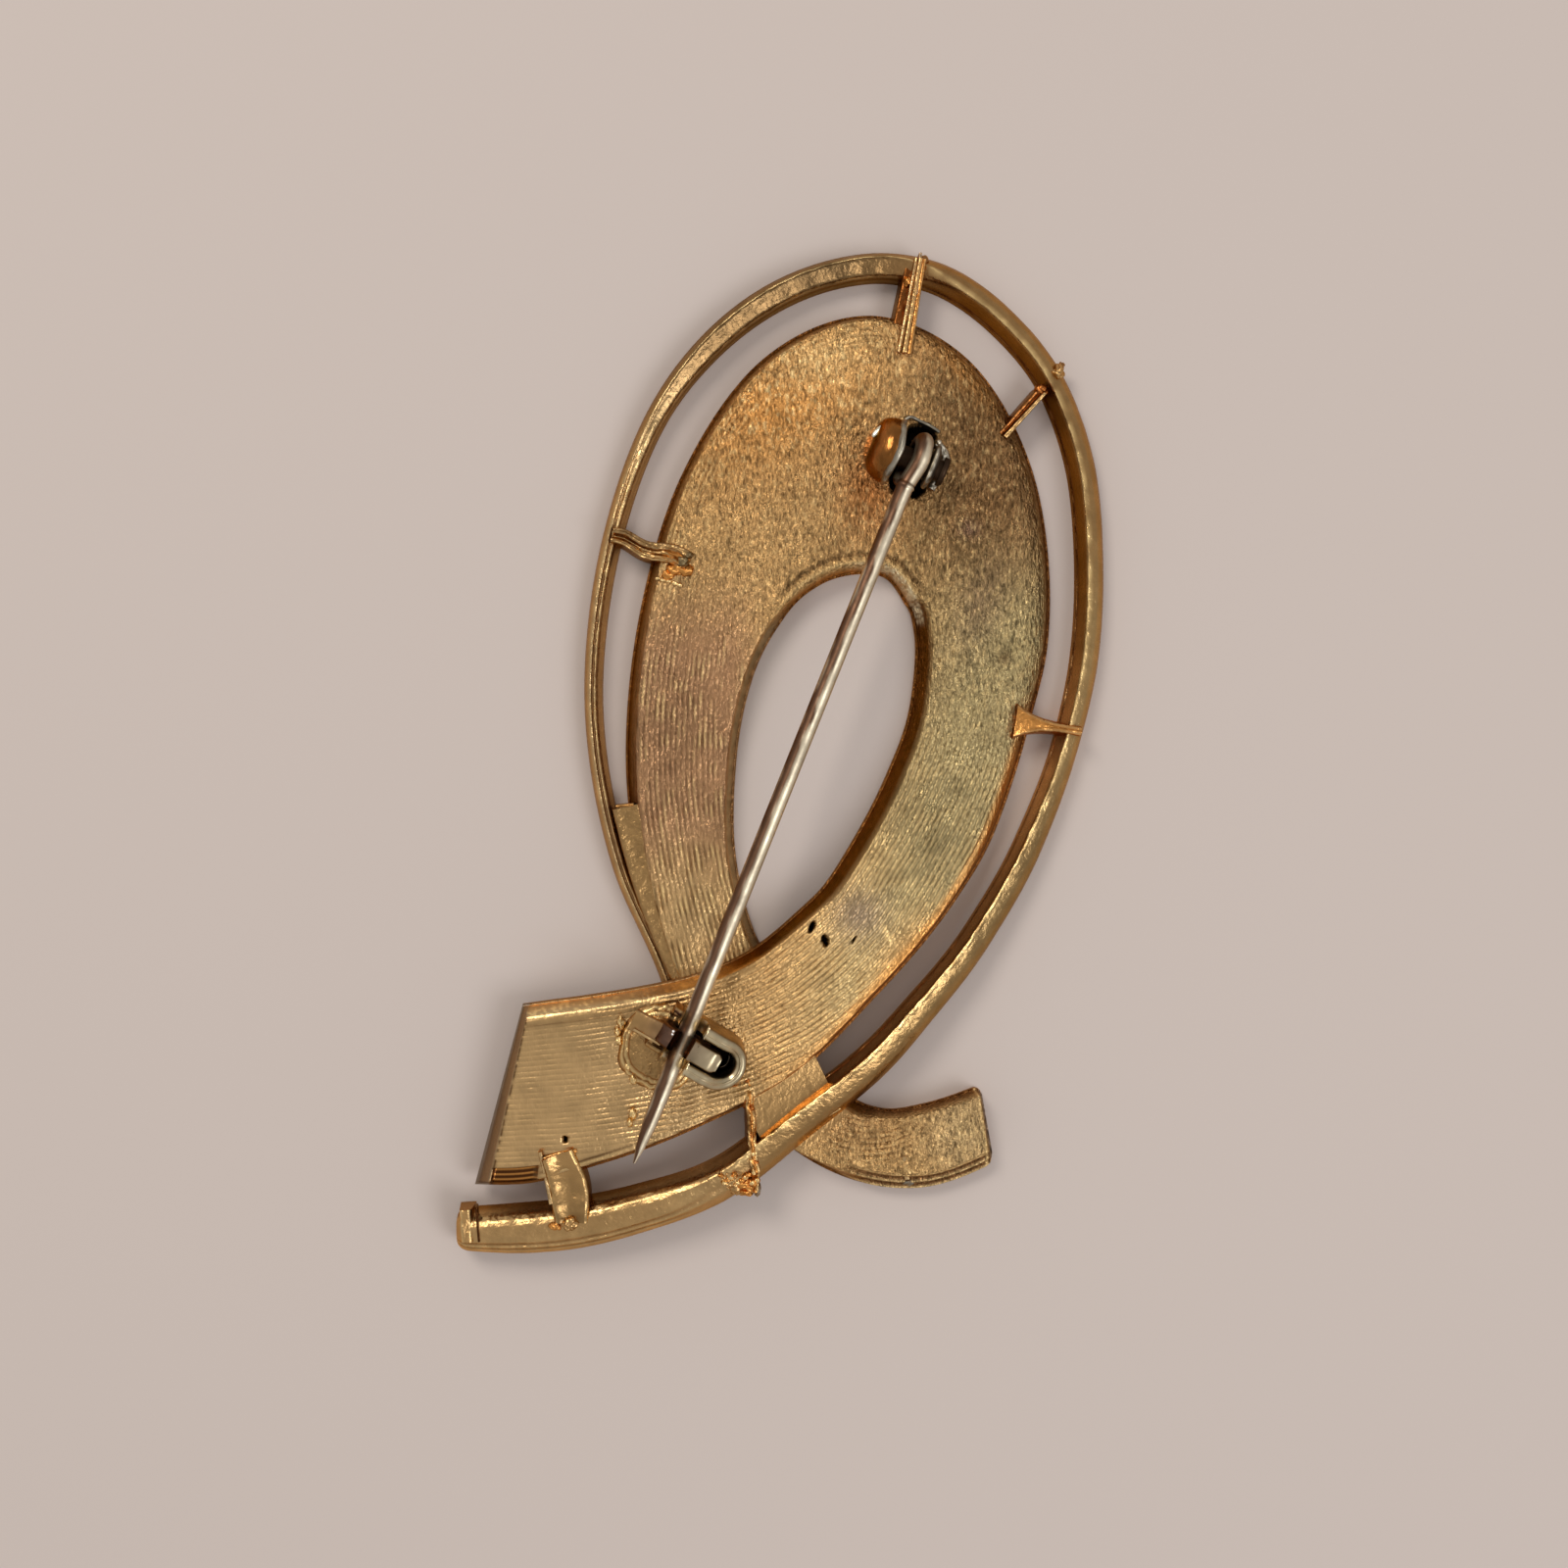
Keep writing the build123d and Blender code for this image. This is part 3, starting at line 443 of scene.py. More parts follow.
# The lower tail's outer edge has lips: distances from the edge, and the height at each.
LIP_AT = [0, 0.05, 0.10, 0.40, 0.48, 0.78, 0.88, 1.00]
LIP_HIGH = [0.3, 0.34, 0.92, 0.98, 1.26, 1.32, 1.62, 1.70]
# Small holes in the casting, by their place in the picture: middle, radii and turn.
PITS = [(829, 946, 3.2, 7.4, 22), (842.5, 960, 3.9, 7.6, -14), (577, 1163, 3, 4.5, -20),
        (872, 959, 1.2, 4.5, 20)]
NOTCH = (960, 1119, 6, 7)
DENT = (878, 934, 30, 30)
SMOOTH_PATCH = (932, 965, 34, 40)
SCAR = (907, 955)
GLARE_TONE = np.array([1.0, 0.86, 0.56])
SLOPE_TONE = srgb(176, 158, 124)


def edge_height(d, wall, reach, drop):
    """Height of the ribbon's back near an edge: a ledge, a leaning wall and a rounded corner."""
    low = BAND_THICK - drop
    climb = FOOT + (low - FOOT) * np.clip((d - LEDGE) / wall, 0, 1)
    turn = np.clip((d - LEDGE - wall) / reach, 0, 1)
    top = low + drop * np.sqrt(1 - (1 - turn) ** 2)
    return np.where(d < LEDGE, FOOT - 0.03, np.where(d < LEDGE + wall, climb, top))


def band_forms(s):
    """Wall, reach and drop of the outer and the inner edge at a place along the ribbon."""
    tail = 1 - ease(1.6, 3.4, s)
    side = between(5.4, 8.2, 11.6, 13.6, s)
    left = between(13.0, 13.8, 20.2, 20.6, s)
    bare = between(20.3, 20.7, 22.0, 22.6, s)
    lower = ease(22.4, 23.0, s)
    rim = between(10.2, 11.2, 14.5, 15.5, s)
    bevel = between(9.6, 10.3, 12.4, 13.4, s)
    loop_right = between(4.5, 6.5, 10.0, 11.0, s)
    loop_top = between(10.3, 11.3, 14.5, 15.5, s)
    wall = 0.28 - 0.12 * side + 0.14 * left - 0.22 * bare + 0.06 * lower
    outer = (wall, 0.14 + 1.3 * side, 0.14 + 0.95 * side)
    wall = 0.34 + 0.24 * loop_right - 0.22 * loop_top - 0.26 * tail - 0.30 * lower
    reach = 0.16 + 0.4 * tail + 0.12 * rim + 0.16 * bevel
    drop = 0.16 + 0.5 * tail + 0.1 * rim + 0.16 * bevel
    return outer, (wall, reach, drop)


class Back:
    """Places on the ribbon's back, with the shares by which its ribs and other zones hold there."""

    def __init__(self, x, y, z, lift, s, d_out, d_in, from_first):
        self.x, self.y, self.z, self.s = x, y, z, s
        self.d_out, self.d_in, self.from_first = d_out, d_in, from_first
        self.px, self.py = seen(x, y, z + lift)
        self.tail = 1 - ease(1.8, 3.0, s)
        self.right = 1 - ease(7.2, 8.6, s)
        self.left = between(14.7, 16.2, 20.2, 20.9, s)
        self.swirl = between(22.0, 22.4, 23.3, 24.2, s) * ease(0.9, 1.7, d_out)
        self.upper_left = between(12.4, 13.2, 15.4, 16.4, s) * between(0.3, 0.5, 1.3, 2.4, d_out)
        self.rim = between(10.4, 11.4, 14.3, 15.3, s)
        rough = np.maximum(self.left * 0.75, self.right * (0.75 + 0.25 * self.tail))
        self.rough = np.clip(rough + between(20.6, 21.0, 22.0, 22.4, s) * 0.9, 0, 1)
        self.recess = between(0.26, 0.34, 1.10, 1.18, d_out) * (1 - ease(1.05, 1.2, s))
        self.recess *= ease(0.55, 0.7, from_first)

    def noise(self, wide, tall, seed):
        """Noise whose cells have a width and a height in millimetres."""
        return noise(self.x / wide, self.y / tall, seed)

    def ribs(self, d, pitch, seed, broken=0.4):
        """Ribs along an edge, with broad tops, narrow grooves and broken, wandering lines."""
        wander = 0.3 * self.noise(1.6, 1.6, seed) + 0.06 * self.noise(0.5, 0.5, seed + 1)
        wave = np.cos(2 * math.pi * (d / pitch + wander * 0.6))
        wave = 1 - 2 * ((1 - wave) / 2) ** 2.0
        return wave * (1 - broken + broken * self.noise(0.5, 0.7, seed + 2))

    def oval(self, *where):
        """A soft oval at a place in the picture."""
        return oval(self.px, self.py, *where)


def ribbing(b):
    """Height of the ribs and of the groove beside the loop's rim."""
    plain = (1 - 0.8 * b.oval(*DENT)) * (1 - 0.8 * b.oval(*SMOOTH_PATCH))
    height = (0.038 - 0.026 * b.tail) * b.right * plain * b.ribs(b.d_in, 0.27, 13)
    lower = ease(18.5, 20.0, b.s)
    across = b.d_out * (1 - lower) + (b.d_out * 0.5 - b.d_in * 0.5 + 3.0) * lower
    height += (0.038 + 0.024 * lower) * b.left * b.ribs(across, 0.27, 3, 0.55)
    height += 0.030 * b.swirl * b.ribs(b.d_in + 0.35 * (b.s - 22.0) ** 2, 0.34, 9)
    beside = between(8.0, 8.6, 10.4, 11.6, b.s) * between(0.2, 0.35, 1.1, 1.5, b.d_in)
    height += 0.016 * beside * b.ribs(b.d_in, 0.24, 5)
    height += 0.036 * b.upper_left * b.ribs(b.d_out, 0.29, 7)
    outer_lines = between(4.0, 6.0, 10.5, 11.5, b.s) * between(0.25, 0.4, 0.9, 1.2, b.d_out)
    height += 0.014 * outer_lines * b.ribs(b.d_out, 0.30, 6)
    return height + b.rim * (0.06 * stripe(b.d_in, 0.55, 0.16) - 0.06 * stripe(b.d_in, 0.92, 0.1))


def relief(b, ribbed):
    """The ribs with the swells, grain, scar, holes and recess of the back."""
    height = ribbed + 0.030 * b.noise(3.1, 3.1, 21) + 0.008 * b.noise(0.9, 0.9, 22)
    height += (1 - b.rough) * 0.016 * b.noise(0.12, 0.34, 23)
    height -= 0.05 * b.oval(*DENT)
    height += 0.05 * b.oval(*SCAR, 5, 16, -25)
    for pit in PITS:
        height = height - 0.45 * ease(0.2, 0.6, b.oval(*pit))
    return height - 0.3 * b.oval(*NOTCH) - 0.4 * b.recess


def back_colour(b, ribbed):
    """Colour of the ribbon's back: painted shade in the grooves and holes, painted highlights on the broken
    ribs, bright and dark dots, and painted lines at the rims.
    """
    mottle = 0.10 * b.noise(0.8, 0.8, 31) + 0.07 * b.noise(0.25, 0.25, 32)
    colour = ribbon_colour(b.px, b.py) * (1 + mottle)[..., None]
    dashes = b.left * ease(17.2, 18.8, b.s)
    deep_shade = 0.66 + 0.14 * b.left + 0.1 * dashes - 0.3 * b.swirl
    glint_breakup = b.noise(0.25, 0.7, 41) * b.left + b.noise(1.5, 0.4, 42) * (1 - b.left)
    glint = np.clip(ribbed / 0.03 - 0.2, 0, 1) * np.clip(0.45 + glint_breakup * (1 + 0.8 * b.left), 0, 1)
    bright = np.clip(0.26 - 0.1 * b.tail + 0.34 * b.left + 0.4 * dashes + 0.3 * b.upper_left, 0, 1)
    speck_and_glint = b.noise(0.10, 0.24, 49) * (1 - b.rough)
    lit = 0.3 + 0.6 * b.oval(815, 375, 130, 80, -30)
    double = between(1.1, 1.3, 2.0, 2.8, b.s)
    # Painted shade in the grooves; painted highlights on the rib tops and bright dots, more where the upper
    # left is lit.
    colour = blend(colour, colour * 0.45, deep_shade * np.clip(-ribbed / 0.02, 0, 1))
    colour = layered(colour, (PAINTED_HIGHLIGHT, bright * glint), (PAINTED_HIGHLIGHT, lit * ease(0.25, 0.7, speck_and_glint)))
    colour = blend(colour, colour * 0.5, 0.6 * ease(0.25, 0.7, -speck_and_glint))
    # Painted highlight lines on the rim, the scar and the tail's lower edge, painted shade lines in the
    # grooves beside them, and the holes painted black as shade.
    return layered(
        colour,
        (ORANGE, 0.7 * (between(3.5, 5.0, 7.5, 8.5, b.s) * (1 - ease(0.5, 1.0, b.d_out)))),
        (PAINTED_HIGHLIGHT, 0.5 * b.rim * stripe(b.d_in, 0.5, 0.12)),
        (SHADE_DARK, 0.5 * b.rim * stripe(b.d_in, 0.92, 0.08)),
        (PAINTED_HIGHLIGHT, 0.7 * b.oval(*SCAR, 4, 14, -25)),
        (SHADE_DARK, 0.85 * double * stripe(b.d_out, 0.74, 0.07)),
        (PAINTED_HIGHLIGHT, 0.5 * double * stripe(b.d_out, 0.58, 0.05)),
        (SHADE_DARK, 0.5 * b.tail * stripe(b.d_in, 1.04, 0.05)),
        *((HOLLOW_SHADE, ease(0.25, 0.5, b.oval(*pit))) for pit in PITS),
        (HOLLOW_SHADE, ease(0.3, 0.6, b.oval(*NOTCH))))


def side_colour(b, colour):
    """The colour with painted shade and reflected tones on the ribbon's leaning sides and painted shade on
    their ledge over it.
    """
    rim_side = (b.d_in < b.d_out) & (b.s > 3.0)
    depth = 1 - ease(np.where(rim_side, 1.15, FOOT + 0.15), np.where(rim_side, 1.60, BAND_THICK - 0.15), b.z)
    deep_shade = np.broadcast_to(WALL_SHADE, colour.shape)
    inner = layered(
        deep_shade * 0.8,
        (SLOPE_TONE, between(14.5, 15.5, 21, 22, b.s)),
        (ORANGE * 0.8, between(10.3, 11.3, 14.5, 15.5, b.s)),
        (PALE, 1 - ease(3.0, 4.0, b.s)),
        (BROWN * 0.9, ease(22.0, 23.0, b.s)))
    outer = blend(deep_shade, BROWN * 0.6, between(4.4, 6.0, 12.5, 13.8, b.s))
    tone = np.where((b.d_in < b.d_out)[..., None], inner, outer)
    tone = tone * (1 + 0.3 * b.noise(0.14, 0.2, 45))[..., None]
    return layered(colour, (tone, depth), (WALL * 0.6, 0.8 * (1 - ease(FOOT - 0.01, FOOT + 0.03, b.z))))


def rim_colour(b, colour):
    """The colour with painted highlights on the rims and lips, painted shade in the striped recess and
    between the lips, and the start's end wall and its edge line painted as shade.
    """
    bevel = between(9.6, 10.3, 12.6, 13.6, b.s) * between(0.14, 0.2, 0.42, 0.56, b.d_in)
    top_edge = (1 - ease(2.6, 3.6, b.s)) * between(0.08, 0.16, 0.55, 0.75, b.d_in)
    stripes = np.clip(np.cos(b.d_out * 2 * math.pi / 0.26), 0, 1)
    lips = ease(22.7, 23.4, b.s) * (b.d_out < 1.0)
    at_start = 1 - ease(1.0, 2.0, b.s)
    seam = stripe(b.from_first, 0.64, 0.06) * at_start * np.clip(0.8 + b.noise(0.2, 0.2, 48), 0, 1)
    return layered(
        colour,
        (GLARE_TONE, bevel * np.clip(0.7 + 0.7 * b.noise(0.12, 0.12, 46), 0, 1)),
        (PALE, 0.75 * top_edge),
        (PAINTED_HIGHLIGHT * 1.1, 0.9 * top_edge * ease(0.15, 0.5, b.noise(0.16, 0.07, 47))),
        (blend(np.broadcast_to(SHADE_DARK, colour.shape), ORANGE, 0.8 * stripes), b.recess),
        (BROWN, 0.9 * lips),
        *((PAINTED_HIGHLIGHT, 0.9 * lips * stripe(b.d_out, middle, 0.06)) for middle in (0.15, 0.52, 0.92)),
        *((SHADE_DARK, 0.7 * lips * stripe(b.d_out, middle, 0.05)) for middle in (0.33, 0.72)),
        (GREY * 0.85, 0.9 * at_start * (1 - ease(0.5, 0.62, b.from_first))),
        (SHADE_DARK, 0.9 * seam))


def eye_pocket(x, y):
    """The hollow under the pin's eye, with its inside painted black as shade."""
    dx = x - HINGE[0]
    dy = y - HINGE[1]
    along = dx * PIN_WAY[0] + dy * PIN_WAY[1]
    across = dx * HINGE_AXIS[0] + dy * HINGE_AXIS[1]
    run = np.maximum(np.abs(along + 0.25) - 1.15, 0)
    away = np.hypot(run, across) - 0.78
    beside = np.hypot((along - 0.95) / 1.1, across + 0.62) - 0.52
    away = np.minimum(away, beside) + 0.05 * noise(x / 0.3, y / 0.3, 61)
    return 1 - ease(-0.04, 0.05, away)


def limb_outline(rows, rounded):
    """The two edges of a limb on the plan, drawn in at its far end where that is rounded."""
    outer = rows[:, 0:2] * [HALF_X, HALF_Y]
    inner = rows[:, 2:4] * [HALF_X, HALF_Y]
    if not rounded:
        return outer, inner
    to_end = np.linalg.norm((outer + inner - outer[-1] - inner[-1]) / 2, axis=1)
    inset = END_ROUND - np.sqrt(END_ROUND ** 2 - np.clip(END_ROUND - to_end, 0, END_ROUND) ** 2)
    way_in = (inner - outer) / np.linalg.norm(inner - outer, axis=1)[:, None]
    return outer + way_in * inset[:, None] * 0.9, inner - way_in * inset[:, None] * 0.9


def limb(name, rows, place_along, across):
    """One limb of the ribbon as a dense sheet with real ribs, closed at its front."""
    is_left = name == "ribbon_left"
    outer, inner = limb_outline(rows, is_left)
    lift = np.maximum(rows[:, 4:5], 0) * CROSS_LIFT
    width = np.linalg.norm(inner - outer, axis=1)[:, None]
    middle = np.linspace(0, 1, across)[1:-1][None, :]
    near = np.broadcast_to(EDGE, (len(rows), len(EDGE)))
    d_out = np.hstack([near, EDGE[-1] + (width - 2 * EDGE[-1]) * middle, width - EDGE[::-1][None, :]])
    d_in = width - d_out
    x, y = (outer[:, k:k + 1] + (inner - outer)[:, k:k + 1] * (d_out / width) for k in (0, 1))
    s = np.broadcast_to(place_along[:, None], x.shape)
    outer_form, inner_form = band_forms(s)
    inner_height = edge_height(d_in, *inner_form)
    z = np.minimum(edge_height(d_out, *outer_form), inner_height)
    steps = np.linalg.norm(np.diff((outer + inner) / 2, axis=0), axis=1)
    run = np.concatenate([[0], np.cumsum(steps)])
    from_first = np.broadcast_to(run[:, None], x.shape)
    if is_left:
        end_height = edge_height(run[-1] - from_first, 0.12, 0.3, 0.3)
    else:
        end_height = edge_height(from_first, 0.42, 0.06, 0.08)
    z = np.minimum(z, end_height)
    lipped = ease(22.7, 23.4, s) * (d_out < d_in)
    lips = np.minimum(np.minimum(np.interp(d_out, LIP_AT, LIP_HIGH), inner_height), end_height)
    z = z * (1 - lipped) + lips * lipped
    flat = ease(0.0, 0.14, z - (BAND_THICK - 0.18))
    back = Back(x, y, z, lift, s, d_out, d_in, from_first)
    ribbed = ribbing(back)
    height = relief(back, ribbed)
    colour = rim_colour(back, side_colour(back, back_colour(back, ribbed)))
    from_end = np.where(s > 22.5, run[-1] - from_first, 9.0)
    hole = eye_pocket(x, y)
    # Painted light at the lower tail's end: a dark shade line, a bright highlight line and a grey end wall;
    # the eye's pocket is painted black as shade.
    colour = layered(
        colour,
        (SHADE_DARK, 0.8 * stripe(from_end, 0.26, 0.05)),
        (PAINTED_HIGHLIGHT, 0.8 * stripe(from_end, 0.40, 0.06)),
        (GREY * 0.8, 0.8 * (1 - ease(0.12, 0.20, from_end))),
        (HOLLOW_SHADE, ease(0.2, 0.8, hole)))
    z = z + height * np.maximum(flat, height < -0.15) - POCKET_DEPTH * hole
    sheet = Shape()
    top = np.stack([x, y, np.maximum(z + lift, 0.02)], -1)
    sheet.grid(top, colour, 1 - back.rough, flip=True)
    keep = np.linspace(0, x.shape[1] - 1, 14).astype(int)
    under = np.stack([x[:, keep], y[:, keep], np.broadcast_to(lift, x.shape)[:, keep]], -1)
    sheet.grid(under, TAN)
    for column, turned in ((0, True), (-1, False)):
        sheet.grid(np.stack([top[:, column], under[:, column]], 1), BROWN, flip=turned)
    for row, turned in ((0, False), (-1, True)):
        sheet.cap(np.vstack([top[row], under[row][::-1]]), BROWN, flip=turned)
    sheet.object(name, GOLD_GRAIN)


def places_along(cuts):
    """Where each step lies along a smoothed table, in rows of the table."""
    return np.concatenate([i + np.arange(c) / c for i, c in enumerate(cuts)] + [[len(cuts)]])


def ribbon():
    """The two limbs of the ribbon, which meet at the right of the loop."""
    cuts = RIGHT_CUTS + LEFT_CUTS
    rows = smooth(RIGHT_LIMB + LEFT_LIMB[1:], cuts)
    s = places_along(cuts)
    seam = sum(RIGHT_CUTS)
    limb("ribbon_right", rows[:seam + 1], s[:seam + 1], RIGHT_ACROSS)
    limb("ribbon_left", rows[seam:], s[seam:], LEFT_ACROSS)


# Rail sections, outside to inside: share across, height and tone (0 wall painted dark as shade, 1 slope, 2
# ridge with a painted highlight).
RAIL_LEFT = [
    (-0.50, 0.0, 0), (-0.50, 0.35, 0.5), (-0.45, 0.6, 0.9), (-0.41, 0.95, 1), (-0.30, 1.3, 1.1),
    (-0.18, 1.46, 1.3), (-0.09, 1.44, 1.0), (-0.05, 1.30, 0.4), (0.03, 1.30, 0.5), (0.07, 1.48, 1.9),
    (0.16, 1.42, 1.1), (0.28, 1.2, 1), (0.36, 0.8, 1.0), (0.43, 0.5, 1.3), (0.50, 0.0, 0.5),
]
RAIL_TOP = [
    (-0.50, 0.0, 0), (-0.50, 0.4, 0.3), (-0.46, 0.5, 0.9), (-0.42, 0.75, 0.1), (-0.36, 1.10, 0.9),
    (-0.28, 1.40, 0.85), (-0.24, 1.60, 0.8), (-0.18, 1.68, 1.9), (-0.14, 1.60, 0.75), (0.12, 1.47, 0.7),
    (0.35, 1.34, 0.75), (0.41, 1.22, 1.7), (0.43, 0.7, 0), (0.47, 0.45, 0.9), (0.50, 0.0, 0),
]
RAIL_RIGHT = [
    (-0.50, 0.0, 0), (-0.50, 0.4, 0.1), (-0.45, 0.62, 0.5), (-0.38, 0.95, 0.8), (-0.28, 1.25, 0.95),
    (-0.14, 1.5, 1), (0.02, 1.64, 1.0), (0.14, 1.73, 1.6), (0.21, 1.77, 2), (0.25, 1.72, 1.3),
    (0.28, 1.5, 0.1), (0.36, 0.9, 0), (0.42, 0.45, 0), (0.48, 0.38, 0.1), (0.50, 0.0, 0),
]
RAIL_LOW = [
    (-0.50, 0.0, 0.5), (-0.50, 0.4, 0.8), (-0.45, 0.62, 1), (-0.38, 0.95, 1), (-0.28, 1.25, 1),
    (-0.12, 1.5, 1), (0.06, 1.64, 1.0), (0.20, 1.72, 1.2), (0.27, 1.77, 2), (0.31, 1.74, 1.5),
    (0.35, 1.5, 0.1), (0.40, 1.0, 0), (0.44, 0.5, 0), (0.48, 0.4, 0.1), (0.50, 0.0, 0),
]
RAIL_TAIL = [
    (-0.50, 0.0, 0), (-0.50, 0.55, 0.8), (-0.46, 0.9, 1.1), (-0.38, 1.15, 1.1), (-0.35, 1.18, 0.3),
    (-0.30, 1.38, 1.5), (-0.24, 1.36, 0.5), (-0.18, 1.5, 1.2), (-0.02, 1.62, 1.0), (0.16, 1.66, 1.0),
    (0.29, 1.56, 1.2), (0.37, 1.36, 1.4), (0.43, 1.0, 0.9), (0.48, 0.5, 0.2), (0.50, 0.0, 0),
]
# The section at each of these places along the rail.
RAIL_TURNS = [(0.0, RAIL_LEFT), (4.5, RAIL_LEFT), (7.0, RAIL_TOP), (10.0, RAIL_TOP), (11.6, RAIL_RIGHT),
              (16.5, RAIL_RIGHT), (18.5, RAIL_LOW), (22.4, RAIL_LOW), (24.0, RAIL_TAIL), (29.0, RAIL_TAIL)]
RAIL_STEPS = 36
RAIL_END_ROUND = 0.75
# A warm light tone painted on the lower rail's inner wall as light falling on it.
LIT_WALL = srgb(232, 180, 122)


def rail_section(s):
    """The section at a place along the rail, between the nearest two given ones."""
    for (s0, a), (s1, b) in zip(RAIL_TURNS, RAIL_TURNS[1:]):
        if s <= s1:
            t = float(ease(s0, s1, s))
            return np.array(a) * (1 - t) + np.array(b) * t


def finer(section, times=3):
    """The section with more points on its straight sides."""
    steps = np.arange(len(section) * times - times + 1) / times
    index = np.arange(len(section))
    return np.stack([np.interp(steps, index, column) for column in section.T], -1)


def heading(path, least=0.0):
    """Unit steps along a path."""
    ahead = np.gradient(path, axis=0)
    return ahead / (np.linalg.norm(ahead, axis=1)[:, None] + least)


def to_right(ahead):
    """The plan direction to the right of each step."""
    return np.stack([ahead[:, 1], -ahead[:, 0]], -1)


def rail_colour(x, y, z, s, tone):
    """Colour of the rail: plating, walls painted dark as shade or warm as lit, and broken ridges with
    painted highlights.
    """
    colour = ribbon_colour(*seen(x, y, z))
    upper = blend(np.broadcast_to(OLIVE * 0.88, colour.shape), PALE * 0.75, 1 - ease(5.0, 7.5, s))
    wall = WALL_SHADE * (1 + 0.15 * ease(11, 13, s))[..., None]
    wall = blend(wall, LIT_WALL, 0.95 * between(15, 18, 23, 24, s))
    colour = layered(
        colour,
        (TAN * 0.8, 0.7 * between(10.0, 12.0, 21.0, 23.5, s)),
        (upper, 0.8 * (1 - ease(9.0, 11.0, s))),
        (TAN, 0.6 * ease(22.0, 24.0, s)),
        (wall, 0.95 * (1 - np.clip(tone, 0, 1))))
    shade = 0.16 * between(5.5, 7.0, 9.6, 10.8, s) + 0.25 * between(16.5, 18.5, 22.4, 24.0, s)
    colour = colour * (1 - shade)[..., None]
    # Painted highlights, broken along the ridges.
    spark = np.clip(0.75 + 0.8 * noise(s * 9, 0 * s, 57), 0, 1.3) * (1 - 0.4 * ease(22.5, 24.0, s))
    colour = blend(colour, PAINTED_HIGHLIGHT * 1.1, 0.85 * np.clip((tone - 1) * spark, 0, 1))
    stain = 0.09 * noise(x / 0.5, y / 0.5, 53) + 0.05 * noise(x / 0.12, y / 0.12, 54)
    return colour * (1 + stain)[..., None]


def rail():
    """The outline rail, swept along its stations with a changing section."""
    cuts = [RAIL_STEPS] * (len(RAIL) - 1)
    fine = smooth(RAIL, cuts)
    s = places_along(cuts)
    centre = fine[:, 0:2] * [HALF_X, HALF_Y]
    inward = to_right(heading(centre))
    to_end = np.linalg.norm(centre - centre[-1], axis=1)[:, None]
    ending = np.sqrt(np.clip(1 - np.clip(1 - to_end / RAIL_END_ROUND, 0, 1) ** 2, 0, 1))
    sections = np.array([finer(rail_section(at)) for at in s])
    share, height, tone = np.moveaxis(sections, -1, 0)
    jag = 0.022 * noise(s[:, None] * 14 + 0 * share, 0 * share, 56) * (tone > 1.3)
    width = fine[:, 2:3] * RAIL_WIDTH
    offset = np.clip(share + jag, -0.494, 0.5) * width * (0.55 + 0.45 * ending)
    x, y = (centre[:, k:k + 1] + inward[:, k:k + 1] * offset for k in (0, 1))
    rough = 0.030 * noise(x / 0.6, y / 0.6, 51) + 0.008 * noise(x / 0.17, y / 0.17, 52)
    lift = np.maximum(fine[:, 3:4], 0) * CROSS_LIFT
    z = height * (0.35 + 0.65 * ending) + np.where(height > 0.42, rough, 0) + lift
    points = np.stack([x, y, np.maximum(z, 0)], -1)
    sweep = Shape()
    sweep.grid(points, rail_colour(x, y, z, np.broadcast_to(s[:, None], x.shape), tone), 0.1, flip=True)
    sweep.grid(np.stack([points[:, 0], points[:, -1]], 1), TAN)
    sweep.cap(points[0], BROWN)
    sweep.cap(points[-1], BROWN, flip=True)
    # The end cap carries painted highlights on its edges; the thin dark bar is painted as the shade line
    # beside it.
    bar(sweep, span((475, 1235, 2.5), (477, 1268, 2.5), 14), 0.80, 0.6, 2.52, 0.2, 0.0, 0.1, 0.05,
        wall=BROWN, seed=55, shine=0.9)
    bar(sweep, span((486, 1232, 2.6), (489, 1268, 2.6), 14), 0.11, 1.8, 2.52, 0.03, top=SHADE_DARK, edge=SHADE_DARK)
    sweep.object("outline_rail", GOLD_FINE)


# Cast bars and lumps: struts, ribs, lips, solder and the walls of the catch.
def line(start, end, count):
    """Plan points on a straight line."""
    t = np.linspace(0, 1, count)[:, None]
    return np.array(start)[None, :] * (1 - t) + np.array(end)[None, :] * t


def span(start, end, count):
    """Plan points on a straight line between two places seen in the picture."""
    return line(place(*start), place(*end), count)


def route(places, cuts):
    """Plan points on a smooth curve through places seen in the picture."""
    return smooth([place(*p) for p in places], cuts)


def plan(x, y):
    """A plan place from its shares of the half spans."""
    return np.array([x * HALF_X, y * HALF_Y])


def steps_of(value, count):
    """A value for each step of a path. A pair runs from its first number to its second."""
    return np.broadcast_to(np.linspace(*value, count) if isinstance(value, tuple) else value, count)[:, None]


